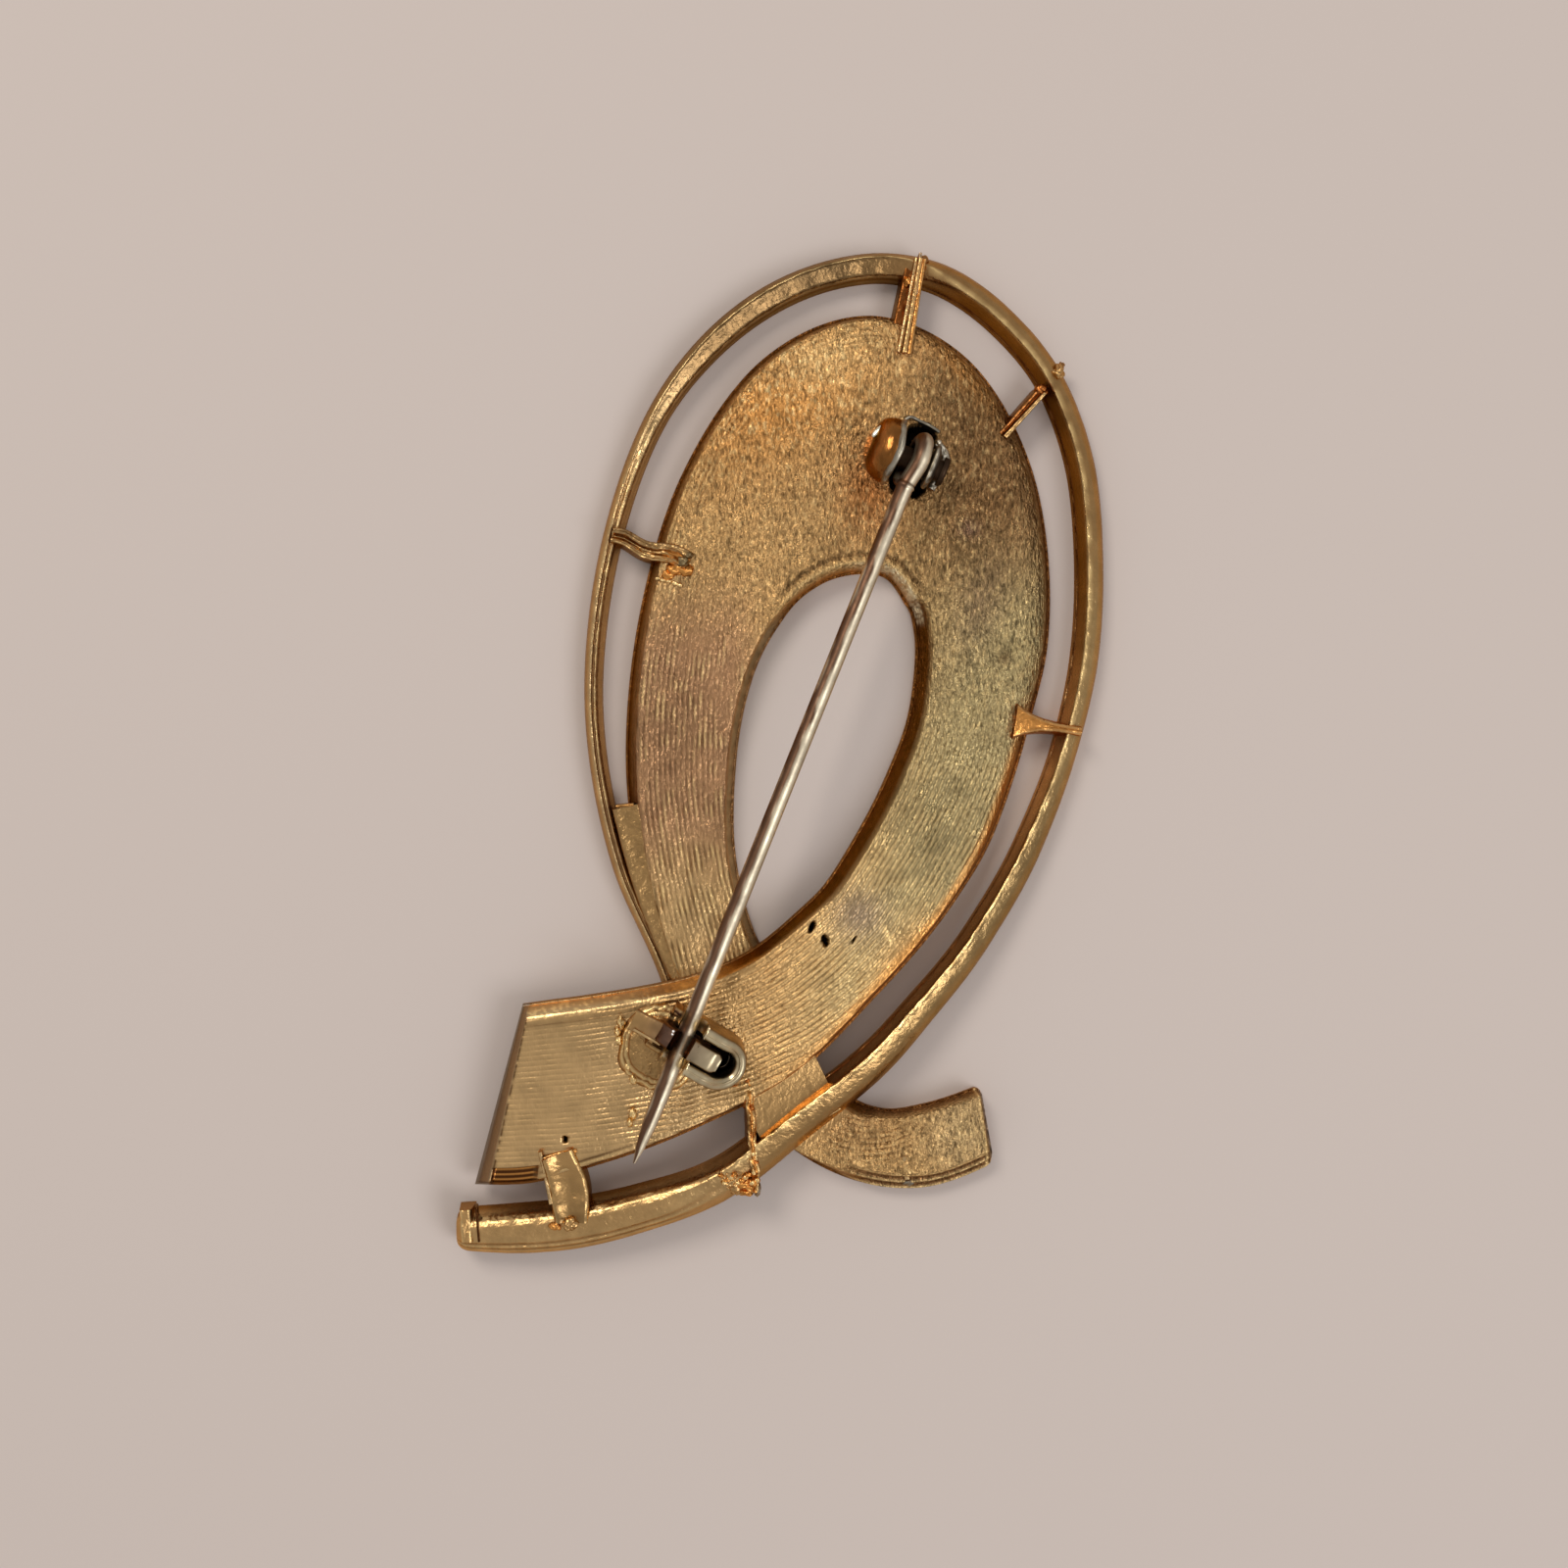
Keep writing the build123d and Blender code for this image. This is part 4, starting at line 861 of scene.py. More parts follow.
def bar(shape, path, width, low, high, bevel=0.12, crown=0.0, lean=0.0, rough=0.02, wall=SHADE_DARK, top=TAN,
        edge=PAINTED_HIGHLIGHT, seed=70, shine=0.5, grain=0.4):
    """A bar along a plan path with leaning walls, rounded edges and a slightly uneven skin."""
    width, low, high, bevel = (steps_of(v, len(path)) for v in (width, low, high, bevel))
    side = to_right(heading(path, 1e-9))
    half = width / 2
    flat = np.maximum(half - lean - bevel, 0.01)
    turn = np.linspace(0, math.pi / 2, 6)[None, :]
    corner = np.hstack([half, half - lean * 0.5, half - lean - bevel * (1 - np.cos(turn))])
    climb = np.hstack([low, (low + high) / 2, high - bevel * (1 - np.sin(turn))])
    across = np.linspace(1, -1, 9)[None, 1:-1]
    rise = turn[0] / (math.pi / 2)
    bulge = np.sin(turn[0] * 2) ** 2
    tone = np.concatenate([[0, 0], rise, np.ones(7), rise[::-1], [0, 0]])
    glow = np.concatenate([[0, 0], bulge, np.zeros(7), bulge, [0, 0]])
    offset = np.hstack([-corner, -flat * across, corner[:, ::-1]])
    z = np.hstack([climb, high + crown * (1 - across ** 2), climb[:, ::-1]])
    x, y = (path[:, k:k + 1] + side[:, k:k + 1] * offset for k in (0, 1))
    bumps = noise(x / 0.35, y / 0.35 + z * 2, seed) + 0.5 * noise(x / 0.13, y / 0.13 + z * 4, seed + 1)
    z = z + rough * bumps * (z > low + 0.02)
    tone, glow = (np.broadcast_to(v, x.shape) for v in (tone, glow))
    # Painted shade on the walls and painted highlights on the rounded edges.
    colour = layered(np.broadcast_to(top, x.shape + (3,)), (wall, 0.9 * (1 - tone)), (edge, shine * glow))
    colour = colour * (1 + 0.16 * noise(x / 0.3, y / 0.3, seed + 2))[..., None]
    points = np.stack([x, y, z], -1)
    shape.grid(points, colour, grain, flip=True)
    shape.cap(points[0], wall)
    shape.cap(points[-1], wall, flip=True)


def lump(shape, middle, radii, colour, rough=0.12, seed=80, count=22, axes=np.eye(3)):
    """An uneven blob of cast metal."""
    up = np.linspace(0, math.pi, count)[:, None]
    turn = np.linspace(0, 2 * math.pi, count * 2 + 1)[None, :]
    way = np.stack([np.sin(up) * np.cos(turn), np.sin(up) * np.sin(turn), np.cos(up) + 0 * turn], -1)
    swell = 1 + rough * noise(way[..., 0] * 1.7 + middle[0], way[..., 1] * 1.7 + way[..., 2] * 1.3, seed)
    swell += rough * 0.5 * noise(way[..., 0] * 4 + 9, way[..., 1] * 4 + way[..., 2] * 4, seed + 1)
    points = np.array(middle) + (way * np.array(radii) * swell[..., None]) @ axes
    # Painted shade: the underside is darkened.
    under = np.clip(-way[..., 2] + 0.1, 0, 1)
    shape.grid(points, blend(np.broadcast_to(colour, points.shape), SHADE_DARK, 0.7 * under), 0.6)


def heap(shape, blobs, tones, rough, seed, count):
    """A row of blobs: place in the picture, the height it is seen at, the middle's height and the radii."""
    for k, (px, py, z, high, *radii) in enumerate(blobs):
        lump(shape, spot(px, py, z, high), radii, tones[k % len(tones)], rough, seed + k, count)


# Solder drops, by their place in the picture, with size, and height or length. The glints are small lumps
# painted as highlights.
LEFT_DROPS = [(697, 573, 0.34, 1.80), (703, 566, 0.26, 1.84), (690, 581, 0.46, 1.68), (700, 582, 0.38, 1.70),
              (682, 586, 0.36, 1.66)]
LEFT_GLINTS = [(677, 592), (683, 593), (689, 595), (694, 597), (672, 590)]
SPRUE_DROPS = [(748, 1203, 0.52, 2.95), (761, 1207, 0.48, 2.95), (738, 1199, 0.36, 2.85),
               (769, 1205, 0.30, 3.0), (752, 1212, 0.42, 2.7), (762, 1215, 0.36, 2.7),
               (744, 1209, 0.30, 2.75)]
RIB_DROPS = [(757, 1104, 0.5, 0.24), (749, 1106, 0.42, 0.22), (760, 1112, 0.36, 0.3), (741, 1108, 0.34, 0.2),
             (755, 1112, 0.4, 0.26), (762, 1122, 0.30, 0.4)]
BASE_GLINTS = [(634, 1043, 0.20), (631, 1053, 0.15), (632, 1062, 0.15), (641, 1073, 0.20), (641, 1088, 0.14),
               (647, 1101, 0.16), (646, 1137, 0.18), (643, 1146, 0.13)]


def top_strut():
    """The bridge at the top: a broad dark foot with three ridges."""
    fins = Shape()
    a, b = np.array([7.10, 25.12]), np.array([6.27, 20.35])
    side = np.array([0.985, -0.173])
    bar(fins, line(a, b, 26) - side * 0.26, (0.95, 1.30), 0.3, 1.55, 0.1, 0.0, 0.1, 0.05, top=RUST * 0.45,
        wall=WALL * 0.4, edge=RUST)
    ridges = ((0.02, 0.24, 2.02, TAN), (0.25, 0.22, 1.95, ORANGE), (-0.22, 0.22, 1.92, PALE))
    for shift, wide, high, tone in ridges:
        path = line(a + side * shift * 0.8, b + side * shift * 1.1, 26)
        bar(fins, path, (wide, wide * 1.15), 1.2, high, 0.09, 0.02, 0.01, 0.03, top=tone, wall=WALL * 0.7)
    lump(fins, spot(926, 288, 1.5), (0.22, 0.30, 0.40), ORANGE, 0.2, seed=71)
    bar(fins, span((940, 258, 1.9), (936, 300, 1.9), 12), 0.14, 1.2, 1.98, 0.05, top=GREY * 1.2, wall=BROWN)
    fins.object("strut_top", GOLD_FINE)


def thin_strut():
    """The thin bridge at the upper right."""
    thin = Shape()
    path = span((1066, 402, 1.6), (1026, 446, 1.8), 26)
    side = np.array([-0.74, 0.67])
    bar(thin, path + side * 0.26, (0.62, 0.5), 0.3, 1.72, 0.2, 0.0, 0.1, 0.03, top=RUST * 0.8, wall=WALL_SHADE,
        shine=0.1)
    bar(thin, path, (0.24, 0.30), 0.3, 1.95, 0.1, 0.02, 0.03, 0.04, wall=WALL * 0.6)
    lump(thin, spot(1063, 398, 1.7, 1.5), (0.34, 0.30, 0.35), RUST, 0.2, seed=75)
    thin.object("strut_thin", GOLD_FINE)


def left_strut():
    """The wavy bridge at the left, with its two ridges and its solder."""
    left = Shape()
    t = np.linspace(0, 1, 60)
    side = np.array([0.25, 0.97])
    path = line(plan(-0.512, 0.430), plan(-0.283, 0.384), 60)
    path = path + side * (0.14 * np.sin(t * 9 + 0.4) * (1 - 0.4 * t))[:, None]
    bar(left, path, 0.86 + 0.55 * t ** 2.0, 0.3, 1.72, 0.3, 0.10, 0.08, 0.08, top=TAN * 0.85,
        wall=WALL * 0.6, seed=171)
    bar(left, path + side * 0.30, 0.34 + 0.14 * t, 1.3, 1.96 + 0.04 * np.sin(t * 14), 0.16, 0.03, 0.02, 0.09,
        top=TAN * 0.8, wall=BROWN, edge=PALE, seed=173)
    bar(left, path - side * (0.20 + 0.16 * t)[:, None], 0.26 + 0.12 * t, 1.3, 1.90, 0.12, 0.03, 0.02, 0.09,
        wall=BROWN, seed=175)
    bar(left, span((664, 556, 1.7), (703, 572, 1.8), 30), (0.5, 1.25), 0.9, 1.86, 0.3, 0.06, 0.1, 0.05,
        top=ORANGE * 0.85, wall=BROWN, seed=178)
    drops = [(px, py, high, high, size, size * 0.8, 0.24) for px, py, size, high in LEFT_DROPS]
    heap(left, drops, [OLIVE] * 2 + [ORANGE] * 3, 0.25, 177, 16)
    heap(left, [(px, py, 1.8, 1.74, 0.17, 0.10, 0.09) for px, py in LEFT_GLINTS], [PAINTED_HIGHLIGHT], 0.2, 72, 12)
    left.object("strut_left", GOLD_FINE)


def right_strut():
    """The flared bridge at the right."""
    right = Shape()
    t = np.linspace(0, 1, 60)
    bar(right, line(plan(0.916, 0.047), plan(0.716, 0.067), 60), 0.66 + 1.35 * t ** 3.2, 0.3, 1.98 - 0.1 * t,
        0.22, 0.06, 0.1, 0.03, top=ORANGE, wall=RUST)
    right.object("strut_right", GOLD_FINE)


def sprue_rests():
    """What is left of the casting's sprues along the rail."""
    rests = Shape()
    lump(rests, (*plan(0.440, 0.979), 1.29), (0.30, 0.30, 0.40), BROWN)
    lump(rests, spot(1079, 381, 1.2, 1.15), (0.34, 0.44, 0.5), TAN, 0.3, seed=82)
    lump(rests, spot(1083, 374, 1.2), (0.18, 0.20, 0.3), BROWN, 0.3, seed=83, count=14)
    drops = [(px, py, high, high - 0.1, size, size * 0.8, 0.34) for px, py, size, high in SPRUE_DROPS]
    heap(rests, drops, [TAN, ORANGE], 0.35, 184, 26)
    # Every other bead is painted in the highlight tone as a glint.
    beads = [(736 + 3.6 * k, 1199 + 8 * ((k * 7) % 4) / 3, 3.1, 3.14 - 0.05 * (k % 3), 0.15, 0.13, 0.12)
             for k in range(10)]
    heap(rests, beads, [ORANGE, PAINTED_HIGHLIGHT], 0.3, 195, 10)
    lump(rests, spot(773, 1214, 2.4, 2.25), (0.20, 0.36, 0.55), SILVER * 0.6, 0.2, seed=91)
    lump(rests, spot(927, 1206, 1.2, 0.8), (0.34, 0.26, 0.55), SILVER * 0.5, 0.2, seed=92)
    path = span((923, 1180, 1.7), (926, 1203, 1.2), 12)
    bar(rests, path, 0.30, 0.6, (1.80, 1.35), 0.1, top=PALE, wall=BROWN)
    rests.object("sprue_rests", GOLD_FINE)


def lower_rib():
    """The uneven rib between the upper tail and the rail."""
    rib = Shape()
    path = route([(763, 1098, 3.2), (766, 1125, 3.2), (768, 1160, 3.2), (771, 1195, 3.2), (771, 1216, 2.6)],
                 [20, 30, 30, 20])
    wobble = np.stack([0.07 * noise(path[:, 1] / 0.45, path[:, 0], 68), 0 * path[:, 0]], -1)
    high = np.concatenate([np.linspace(3.1, 3.22, 20), np.full(61, 3.22), np.linspace(3.2, 2.7, 20)])
    bar(rib, path + wobble, 0.60, 1.25, high, 0.16, 0.04, 0.08, 0.13, top=ORANGE, wall=WALL_SHADE, seed=90,
        shine=1.0, grain=1.0)
    drops = [(px, py, 2.9, 2.75, size, tall, 0.42) for px, py, size, tall in RIB_DROPS]
    heap(rib, drops, [ORANGE, RUST], 0.3, 160, 20)
    # Two of every three beads are painted in the highlight tone as glints; the rib's edges carry painted
    # highlights at full shine.
    beads = [(763 + 0.7 * k + 2.2 * (k % 2), 1102 + 9.4 * k, 3.2, 3.14, 0.13, 0.17, 0.12) for k in range(12)]
    heap(rib, beads, [RUST, PAINTED_HIGHLIGHT, PAINTED_HIGHLIGHT], 0.3, 60, 10)
    rib.object("lower_rib", GOLD_FINE)


def lower_web():
    """The plate beside the lower rib."""
    lower = Shape()
    upper = span((764, 1104, 2.6), (832, 1076, 2.6), 40)
    under = span((770, 1180, 2.6), (858, 1132, 2.6), 40)
    wide = np.linalg.norm(upper - under, axis=1) + 0.1
    bar(lower, (upper + under) / 2, wide, 1.4, (2.80, 2.62), 0.12, -0.10, 0.0, 0.006, top=TAN * 0.8,
        wall=WALL * 0.6, seed=163, grain=0.0)
    lower.object("web_lower", GOLD_FINE)


def left_web():
    """The long web between the rail and the left limb, with its lip."""
    left = Shape()
    outer = span((629, 824, 1.3), (689, 998, 1.3), 60)
    inner = span((645, 822, 1.3), (700, 998, 1.3), 60)
    bow = np.stack([-0.45 * np.sin(math.pi * np.linspace(0, 1, 60)), np.zeros(60)], -1)
    wide = np.linalg.norm(inner - outer, axis=1) + 0.66
    bar(left, (outer + inner) / 2 + bow * 0.62 + [0.12, 0.0], wide, 0.0, 1.63, 0.2, -0.04, 0.0, 0.02,
        top=TAN * 0.72, wall=BROWN, seed=97, grain=0.3, shine=0.1)
    bar(left, span((629, 823, 1.6), (647, 821, 1.6), 14), 0.16, 0.6, 1.68, 0.08, rough=0.06, top=ORANGE,
        wall=WALL * 0.6, seed=98)
    left.object("web_left", GOLD_FINE)


def tail_strap():
    """The sagging strap between the upper tail and the rail's tail, with its two lips, painted darker
    towards its lower end as shade.
    """
    strap = Shape()
    t = np.linspace(0, 1, 60)
    path = span((569, 1178, 3.1), (583, 1250, 3.1), 60)
    high = CROSS_LIFT * 0.8 + BAND_THICK + 0.22
    bow = np.stack([0.20 * np.sin(math.pi * t), 0 * t], -1)
    sag = 0.26 * np.sin(math.pi * np.clip(t * 1.1, 0, 1)) + 0.30 * ease(0.7, 1.0, t)
    sag = sag - 0.22 * (1 - ease(0.15, 0.5, t))
    # Painted shade: the strap's tone darkens from its upper to its lower end.
    tone = (np.outer(1 - t, TAN * 0.95) + np.outer(t, TAN * 0.6))[:, None, :]
    wide = 1.84 + 0.30 * np.sin(t * 3) ** 2
    bar(strap, path + bow, wide, CROSS_LIFT, high - sag, 0.26, -0.16, 0.06, 0.015, top=tone, wall=WALL_SHADE,
        seed=93, grain=0.0)
    # The left lip's pale top is a painted highlight.
    left = path[:46] + np.array([-0.985, 0.17]) * 0.86
    bar(strap, left, 0.20, 1.6, high - 0.05 - sag[:46], 0.07, rough=0.05, top=PALE, wall=WALL * 0.5, seed=94)
    upper = route([(553, 1184, 3.2), (572, 1178, 3.2), (589, 1175, 3.2)], [14, 14])
    bar(strap, upper, 0.20, 2.2, high + 0.02, 0.08, rough=0.03, top=ORANGE, seed=96)
    lump(strap, spot(581, 1250, 3.0, 2.72), (0.42, 0.34, 0.26), TAN, 0.3, seed=95)
    lump(strap, spot(567, 1252, 2.9, 2.6), (0.30, 0.24, 0.2), ORANGE, 0.3, seed=97)
    strap.object("tail_strap", GOLD_FINE)


# Hinge, pin and catch.
def lathe(shape, origin, axis, ahead, profile, tones, count=110, rough=0.02, seed=100, start=0.0,
          turn=360.0):
    """A turned body: its profile gives the distance along the axis and the radius at each step."""
    profile = finer(np.array(profile, float))
    tones = finer(np.array(tones, float))
    angle = np.radians(start + np.linspace(0, turn, count))[None, :]
    up = np.cross(axis, ahead)
    along = profile[:, 0:1]
    uneven = 1 + rough * noise(along * 2 + 0 * angle, 3 * np.cos(angle) + 5, seed)
    uneven += rough * noise(along * 6 + 0 * angle, 8 * np.sin(angle) + 11, seed + 1)
    reach = (profile[:, 1:2] * uneven)[..., None]
    points = origin + along[..., None] * axis
    points = points + reach * (np.cos(angle)[..., None] * ahead + np.sin(angle)[..., None] * up)
    shape.grid(points, np.broadcast_to(tones[:, None, :], points.shape), 0.5)


def leaned(points):
    """Points of the lug and its edge, leaned away from the eye towards the top of the brooch."""
    along = (points - HINGE) @ PIN_WAY
    shift = 0.20 * np.clip(-along, 0, 1.4) ** 1.3 + 0.10 * np.clip(along, 0, 2.0) ** 1.2
    return points + shift[:, None] * HINGE_AXIS


def clear_of_eye(points, side):
    """Points pushed to one side, out of the slot that the eye turns in."""
    across = (points[:, :2] - HINGE[:2]) @ HINGE_AXIS[:2]
    shift = side * np.clip(EYE_SLOT - side * across, 0, None)
    moved = points.copy()
    moved[:, :2] += shift[:, None] * HINGE_AXIS[:2]
    return moved


def hinge_lug():
    """The domed lug that the rivet is set in, painted darker as shade on its inner face and outer end, with
    a painted highlight.
    """
    lug = Shape()
    profile = [(0.80, 0.0), (0.80, 1.50), (0.86, 1.60), (1.10, 1.64), (1.35, 1.60), (1.62, 1.50),
               (1.85, 1.36), (2.05, 1.14), (2.20, 0.86), (2.28, 0.50), (2.30, 0.0)]
    tones = [WALL_SHADE, WALL_SHADE, WALL, WALL * 0.85, WALL * 0.75, WALL * 0.9, RUST * 0.8, WALL * 0.45, SHADE_DARK * 0.7,
             SHADE_DARK * 0.6, SHADE_DARK * 0.6]
    lathe(lug, HINGE, HINGE_AXIS, PIN_WAY, profile, tones, rough=0.015)
    lug.points = [leaned(p) for p in lug.points]
    # A thin near-white lump, tilted to face the key lamp, painted as the dome's highlight.
    level = np.array([-0.209, 0.271, 0.939])
    run = np.cross(level, [0.76, -0.65, 0.0])
    run /= np.linalg.norm(run)
    lump(lug, spot(896, 440, 3.74), (0.40, 0.17, 0.10), srgb(255, 248, 226), 0.05, seed=103, count=30,
         axes=np.array([run, np.cross(level, run), level]))
    lug.object("hinge_lug", GOLD_DOME)


def hinge_steel():
    """The steel edge of the lug, the ear beside the eye and the torn rims of the pocket."""
    steel = Shape()
    edge = [(0.73, 0.60), (0.73, 1.60), (0.77, 1.70), (0.92, 1.72), (1.02, 1.64), (1.12, 1.55), (1.14, 0.9)]
    # Painted light and shade, here and on the ear: tones lighter at the crown, darker towards the sides.
    tones = [SILVER * share for share in (0.4, 0.6, 0.75, 0.7, 0.5, 0.4)] + [BROWN]
    lathe(steel, HINGE, HINGE_AXIS, PIN_WAY, edge, tones, rough=0.03, seed=104)
    steel.points = [leaned(p) for p in steel.points]
    ear = [(-0.78, 0.60), (-0.78, 1.02), (-0.82, 1.14), (-0.92, 1.18), (-1.02, 1.10), (-1.10, 0.90),
           (-1.20, 0.50)]
    tones = [SILVER * share for share in (0.3, 0.5, 0.7, 0.6, 0.45, 0.4)] + [BROWN]
    lathe(steel, HINGE, HINGE_AXIS, PIN_WAY, ear, tones, rough=0.07, seed=106)
    rim = [(922, 431, 1.75), (928, 426, 1.75), (940, 430, 1.75), (950, 435, 1.75), (959, 441, 1.75)]
    bar(steel, route(rim, [10] * 4), 0.17, 1.2, 1.84, 0.07, rough=0.04, top=SILVER * 0.45, wall=SILVER * 0.2,
        edge=SILVER * 0.6, seed=107)
    scrap = [(957, 452, 2.0), (966, 466, 2.0), (963, 480, 2.0), (955, 492, 2.0), (951, 499, 2.0)]
    bar(steel, route(scrap, [10] * 4), 0.42, 1.2, 2.02, 0.12, rough=0.12, top=SILVER * 0.5, wall=BROWN * 0.6,
        edge=SILVER * 0.8, seed=109)
    # A small silver lump painted as a glint.
    lump(steel, spot(959, 451, 2.2, 2.1), (0.13, 0.15, 0.13), SILVER, 0.1, seed=101, count=14)
    steel.object("hinge_steel", STEEL)


def hinge_solder():
    """The solder at the feet of the lug and of the ear."""
    solder = Shape()
    lug_tones = [TAN * 0.6, TAN * 0.5, RUST * 0.4, RUST * 0.35, RUST * 0.35]
    for middle, radius, side, tones in ((1.30, 1.62, 1, lug_tones), (-1.25, 0.85, -1, [BROWN * 0.8] * 5)):
        foot = HINGE + HINGE_AXIS * middle - PIN_WAY * 0.2
        foot[2] = BAND_THICK - 0.12
        skirt = [(0.0, radius), (0.10, radius - 0.12), (0.16, radius - 0.40), (0.26, radius - 0.70),
                 (0.28, 0.0)]
        lathe(solder, foot, UP, PIN_WAY, skirt, tones, rough=0.06, seed=108)
        solder.points[-1] = clear_of_eye(solder.points[-1], side)
    solder.object("hinge_solder", GOLD_FINE)


def in_catch(x, z):
    """Plan places from the catch's own x, towards its closed end, and z, along the pin."""
    x, z = np.broadcast_arrays(np.asarray(x, float)[:, None], np.reshape(z, (-1, 1)))
    return CATCH[:2] + x * CATCH_SIDE[:2] + z * CATCH_WAY[:2]


def clear_of_plate(points):
    """Points of the base lowered inside the slot, where the lock's plate turns down."""
    side = (points[:, :2] - CATCH[:2]) @ CATCH_SIDE[:2]
    along = (points[:, :2] - CATCH[:2]) @ CATCH_WAY[:2]
    moved = points.copy()
    slot = (side > -0.4) & (np.abs(along) < 0.66)
    moved[slot, 2] = np.minimum(points[slot, 2], PLATE_FLOOR)
    return moved


def catch_base():
    """The stepped round base that the catch is soldered on by."""
    base = Shape()
    foot = CATCH + CATCH_SIDE * -0.65 + CATCH_WAY * 1.05
    foot[2] = CATCH_FLOOR - 0.06
    profile = [(0.0, 2.14), (0.14, 2.10), (0.22, 2.00), (0.24, 1.84), (0.30, 1.82), (0.36, 1.72),
               (0.38, 1.56), (0.42, 1.52), (0.45, 1.42), (0.45, 0.0)]
    # Painted highlights on the step edges and painted shade on the risers; the lumps below are painted
    # glints.
    tones = [BROWN, TAN, PAINTED_HIGHLIGHT, WALL * 0.7, TAN, PAINTED_HIGHLIGHT * 0.8, WALL * 0.8, TAN * 0.8]
    tones += [TAN * 0.75] * 2
    lathe(base, foot, UP, PIN_WAY, profile, tones, 160, 0.04, seed=110)
    base.points = [clear_of_plate(p) for p in base.points]
    heap(base, [(px, py, 3.3, 3.28, r, r * 1.6, 0.16) for px, py, r in BASE_GLINTS], [PAINTED_HIGHLIGHT], 0.3, 122, 12)
    base.object("catch_base", GOLD_FINE)


def catch_housing():
    """The slotted housing with its rounded closed end, bored through for the lock."""
    shell = Shape()
    low = CATCH_FLOOR - 0.1
    rail_x = np.concatenate([np.linspace(-0.71, 0.71, 60), np.linspace(0.73, HOUSING_TURN, 30)])
    arc = np.radians(np.linspace(-90, 90, 60)[1:-1])
    x = np.concatenate([rail_x, HOUSING_TURN + 1.03 * np.cos(arc), rail_x[::-1]])
    z = np.concatenate([np.full(len(rail_x), -HOUSING_SIDE), HOUSING_SIDE * np.sin(arc),
                        np.full(len(rail_x), HOUSING_SIDE)])
    bore = -np.sqrt(np.clip(0.68 ** 2 - x ** 2, 0, None))
    over = ease(1.4, 3.05, x)
    high = np.where(np.abs(x) < 0.69, bore, 1.62 - 0.95 * over ** 1.3)
    bevel = np.where(np.abs(x) < 0.72, 0.02, 0.26)
    skin = (np.outer(1 - over, CREAM * 0.95) + np.outer(over, CREAM * 0.75))[:, None, :]
    bar(shell, in_catch(x, HOUSING_MIDDLE + z), 0.66, low, CATCH[2] + high, bevel, 0.05, 0.02, 0.006,
        wall=CREAM * 0.34, top=skin, edge=CREAM * 0.8, seed=112, shine=0.25, grain=0.0)
    # The first of the two short rails is painted dark purple as shade.
    for side, start, tone in ((-HOUSING_SIDE, -1.10, PURPLE), (HOUSING_SIDE, -1.50, TAN)):
        t = np.linspace(start, -0.70, 24)
        high = CATCH[2] + 0.2 * ease(start, start + 0.3, t) - 0.2
        path = in_catch(t, HOUSING_MIDDLE + side)
        bar(shell, path, 0.55, low, high, 0.22, 0.0, 0.05, wall=WALL_SHADE, top=tone * 0.8, seed=115, grain=0.2)
    # A black bar painted as the shade inside the slot.
    black = {"wall": HOLLOW_SHADE, "top": HOLLOW_SHADE, "edge": HOLLOW_SHADE}
    bar(shell, in_catch([-0.6, 2.75], 0.0), 1.3, low, 3.28, 0.02, rough=0.01, seed=114, **black)
    # A thin silver arc painted as a reflection inside the slot's closed end.
    glint = np.radians(np.linspace(-40, 55, 16))
    path = in_catch(HOUSING_TURN + 0.50 * np.cos(glint), HOUSING_MIDDLE + 0.50 * np.sin(glint))
    bar(shell, path, 0.09, 3.4, 4.2, 0.04, top=SILVER * 0.6, wall=HOLLOW_SHADE, edge=SILVER, seed=117, grain=0.0)
    shell.object("catch_housing", STEEL_SMOOTH)


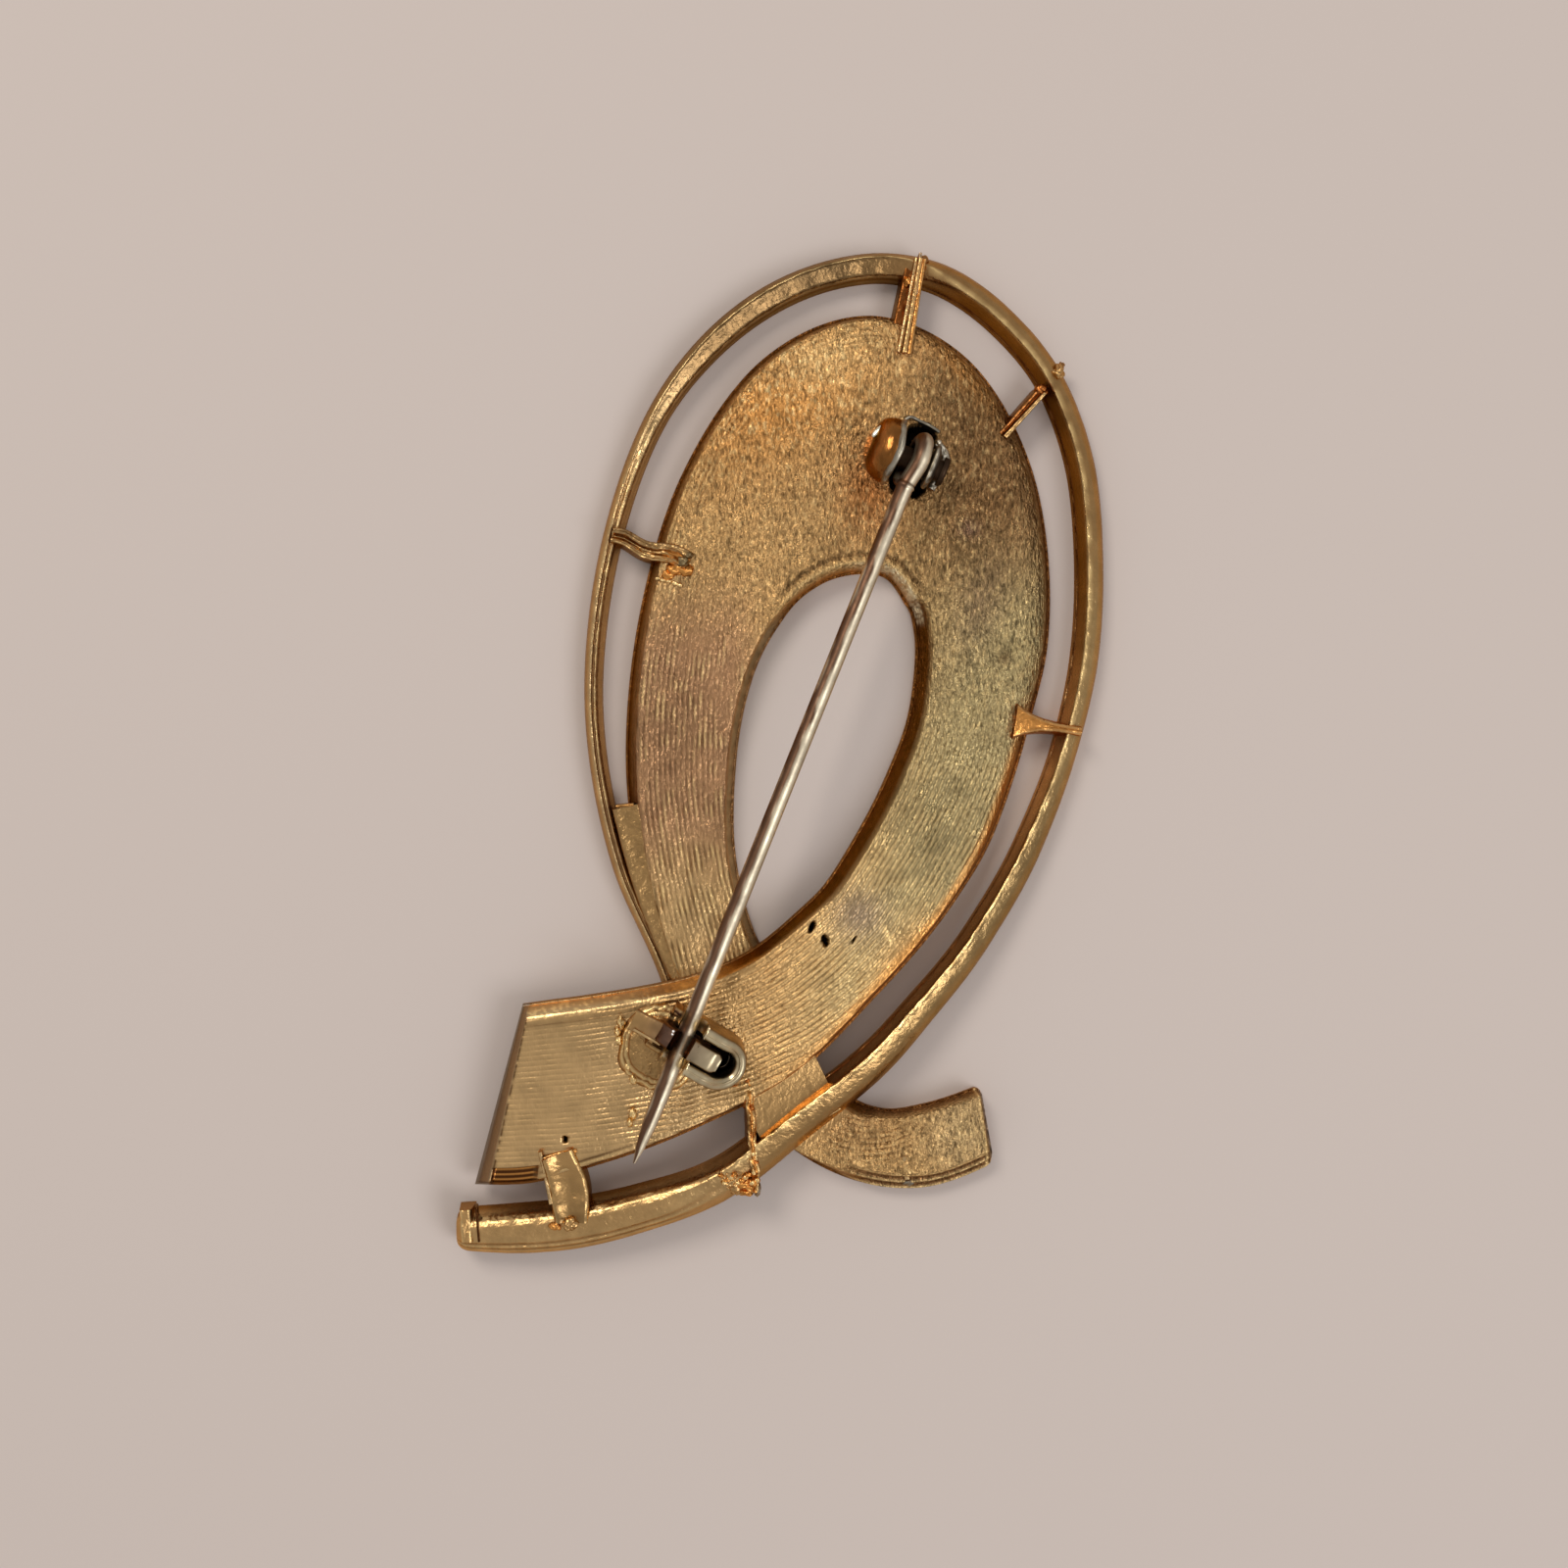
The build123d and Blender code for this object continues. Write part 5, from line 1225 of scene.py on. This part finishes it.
def rotor():
    """The turning lock: a split drum, its thumb tab and its plate."""
    lock = Shape()
    gap = 25.0
    half = 0.52
    ring = [(-half, 0.70), (-half, 1.38), (-0.40, 1.53), (0.40, 1.53), (half, 1.38), (half, 0.70)]
    ring += ring[:1]
    # The drum is painted dark purple as a reflection.
    tones = [PURPLE * 0.75] * len(ring)
    lathe(lock, CATCH, CATCH_WAY, CATCH_SIDE, ring, tones, 90, 0.012, 116, 90 + gap, 360 - 2 * gap)
    # Two small white lumps painted as the drum's glints.
    for x, z in ((-0.74, -0.40), (-0.70, -0.26)):
        middle = CATCH + CATCH_SIDE * x + CATCH_WAY * z + UP * 1.30
        lump(lock, middle, (0.08, 0.08, 0.08), np.ones(3), 0.0, seed=121, count=12)
    t = np.linspace(0, 1, 40)
    x = -0.95 - 1.75 * t
    high = CATCH[2] + 0.8 - 0.12 * ease(0.35, 0.9, t)
    # The tab is painted darker next to the drum as the same reflection; its edge bar is pale as a highlight.
    tone = (np.outer(1 - t, PURPLE * 0.6 + TAN * 0.3) + np.outer(t, TAN * 0.85))[:, None, :]
    bar(lock, in_catch(x, 0.04 + 0.14 * t), 0.98 + 0.10 * t, CATCH[2] + 0.35, high, rough=0.012, wall=BROWN,
        top=tone, edge=PALE, seed=118, shine=0.3, grain=0.0)
    bar(lock, in_catch(x[:34], 0.54), 0.14, CATCH[2] + 0.3, CATCH[2] + 0.88, 0.05, top=PALE, wall=BROWN,
        seed=119, grain=0.0)
    high = CATCH[2] + 1.38 - 0.24 * ease(0.6, 1.0, t) ** 2
    # The plate is painted darker next to the drum as the same reflection.
    tone = (np.outer(1 - t, PURPLE * 0.5 + CREAM * 0.3) + np.outer(t, CREAM * 0.8))[:, None, :]
    wide = 1.06 - 0.30 * ease(0.8, 1.0, t) ** 2
    bar(lock, in_catch(0.45 + 1.55 * t, -0.02), wide, CATCH[2] + 0.45, high, 0.14, 0.03, rough=0.008,
        wall=BROWN, top=tone, edge=CREAM, seed=120, shine=0.15, grain=0.0)
    lock.object("lock_rotor", STEEL_SMOOTH, "lock", "catch_rotor")


def pin_path():
    """The pin's middle line, its thickness, and how far along it each point is: below 0 in the eye."""
    parts = ((PIN_LENGTH, 32.9, 60), (32.8, 3.0, 150), (2.9, 0, 60))
    along = np.concatenate([np.linspace(*part) for part in parts])
    root = EYE_RADIUS * np.array([-math.sin(PIN_SLOPE), math.cos(PIN_SLOPE)])
    stem = root + along[:, None] * np.array([math.cos(PIN_SLOPE), math.sin(PIN_SLOPE)])
    thick = np.interp(along, PIN_AT, PIN_THICK) + 0.045 * np.exp(-((along - 1.55) / 0.10) ** 2)
    angle = PIN_SLOPE + math.pi / 2 + np.linspace(0, EYE_TURN, 90)[1:]
    flat = np.vstack([stem, EYE_RADIUS * np.stack([np.cos(angle), np.sin(angle)], -1)])
    thick = np.concatenate([thick, np.full(len(angle), 0.45)])
    thick[-6:] *= np.array([1.0, 0.98, 0.92, 0.8, 0.6, 0.3])
    step = np.concatenate([along, -np.linspace(0, 1, 90)[1:] * 5.0])
    shift = np.where(step > 0, -0.24 * (1 - ease(0.0, 1.7, step)), -0.24 + 0.48 * np.clip(-step / 5.0, 0, 1))
    return HINGE + flat[:, 0:1] * PIN_WAY + flat[:, 1:2] * UP + shift[:, None] * HINGE_AXIS, thick, step


def pin_wire():
    """The pin: a straight stem with a bend at its root, and an eye that winds sideways round the rivet."""
    path, thick, step = pin_path()
    ahead = heading(path)
    side = HINGE_AXIS - (ahead @ HINGE_AXIS)[:, None] * ahead
    side /= np.linalg.norm(side, axis=1)[:, None]
    over = np.cross(ahead, side)
    turn = np.linspace(0, 2 * math.pi, 29)[None, :, None]
    facing = np.cos(turn) * side[:, None] + np.sin(turn) * over[:, None]
    points = path[:, None] + thick[:, None, None] * facing
    x, y = points[..., 0], points[..., 1]
    # Painted shade and light: the side facing along the hinge axis is dark, the other light, with a lighter
    # line where it faces straight along.
    left = facing @ HINGE_AXIS + 0.25 * noise(x / 0.9, y / 0.9, 130)
    light, dark = srgb(226, 212, 186), srgb(108, 80, 62)
    colour = np.broadcast_to(light, points.shape)
    colour = blend(colour, dark, ease(-0.12, 0.15, left) * (1 - 0.7 * ease(0.8, 0.98, left)))
    colour = colour * (1 + 0.10 * noise(x / 0.5, y / 1.5, 131))[..., None]
    colour = blend(colour, SHADE_DARK, 0.8 * stripe(np.broadcast_to(step[:, None], x.shape), 1.42, 0.06))
    wire = Shape()
    wire.grid(points, colour, flip=True)
    wire.cap(points[0], light)
    wire.cap(points[-1], dark, flip=True)
    wire.object("pin_wire", PIN_STEEL, "pin", "pin_stem")


# Floor, light and camera.
def linked(name, data):
    """A new object in the scene."""
    made = bpy.data.objects.new(name, data)
    bpy.context.scene.collection.objects.link(made)
    return made


def lamp(name, where, size, power, colour):
    """A soft round light that points at the brooch."""
    light = bpy.data.lights.new(name, "AREA")
    light.shape = "DISK"
    light.size = size
    light.energy = power
    light.color = colour
    holder = linked(name, light)
    holder.location = where
    x, y, z = where
    tilt = math.acos(z / math.sqrt(x * x + y * y + z * z))
    holder.rotation_euler = (tilt, 0, math.atan2(y, x) + math.pi / 2)


def floor():
    """The pale floor."""
    mesh = bpy.data.meshes.new("floor")
    corners = [(x * FLOOR_HALF, y * FLOOR_HALF, 0) for x, y in ((-1, -1), (1, -1), (1, 1), (-1, 1))]
    mesh.from_pydata(corners, [], [(0, 1, 2, 3)])
    material = bpy.data.materials.new("floor_pale")
    material.use_nodes = True
    shader = material.node_tree.nodes["Principled BSDF"]
    shader.inputs["Base Color"].default_value = (*srgb(204, 192, 186), 1.0)
    shader.inputs["Roughness"].default_value = 0.7
    mesh.materials.append(material)
    linked("floor", mesh)


def studio():
    """The soft studio light and the camera straight above."""
    scene = bpy.context.scene
    world = bpy.data.worlds.new("studio")
    world.use_nodes = True
    world.node_tree.nodes["Background"].inputs["Color"].default_value = (1.0, 0.96, 0.92, 1.0)
    world.node_tree.nodes["Background"].inputs["Strength"].default_value = 0.5
    scene.world = world
    lamp("key", (-0.17, 0.22, 0.33), 0.16, 0.62, (1.0, 0.94, 0.86))
    lamp("fill", (0.24, -0.14, 0.36), 0.22, 0.56, (0.97, 0.98, 1.0))
    lens = bpy.data.cameras.new("camera")
    lens.lens = 46.8
    lens.sensor_width = 36.0
    lens.shift_x = 0.06875
    lens.shift_y = -0.0375
    lens.clip_start = 0.005
    lens.clip_end = 5.0
    scene.camera = linked("camera", lens)
    scene.camera.location = (-5.371 * MM, 1.2975 * MM, CAMERA_HIGH * MM)
    scene.view_settings.view_transform = "Standard"


PIECES = (ribbon, rail, top_strut, thin_strut, left_strut, right_strut, sprue_rests, lower_rib, lower_web,
          tail_strap, left_web, hinge_lug, hinge_steel, hinge_solder, catch_base, catch_housing, rotor,
          pin_wire)
for build in PIECES:
    build()
# The rivet is painted nearly black as the shade of the gap it sits in, darker still on one side.
rivet_steel = side_shaded("rivet_steel", srgb(66, 50, 38), srgb(34, 24, 18), 0.45)
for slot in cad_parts["hinge_rivet"].material_slots:
    slot.material = rivet_steel
floor()
studio()
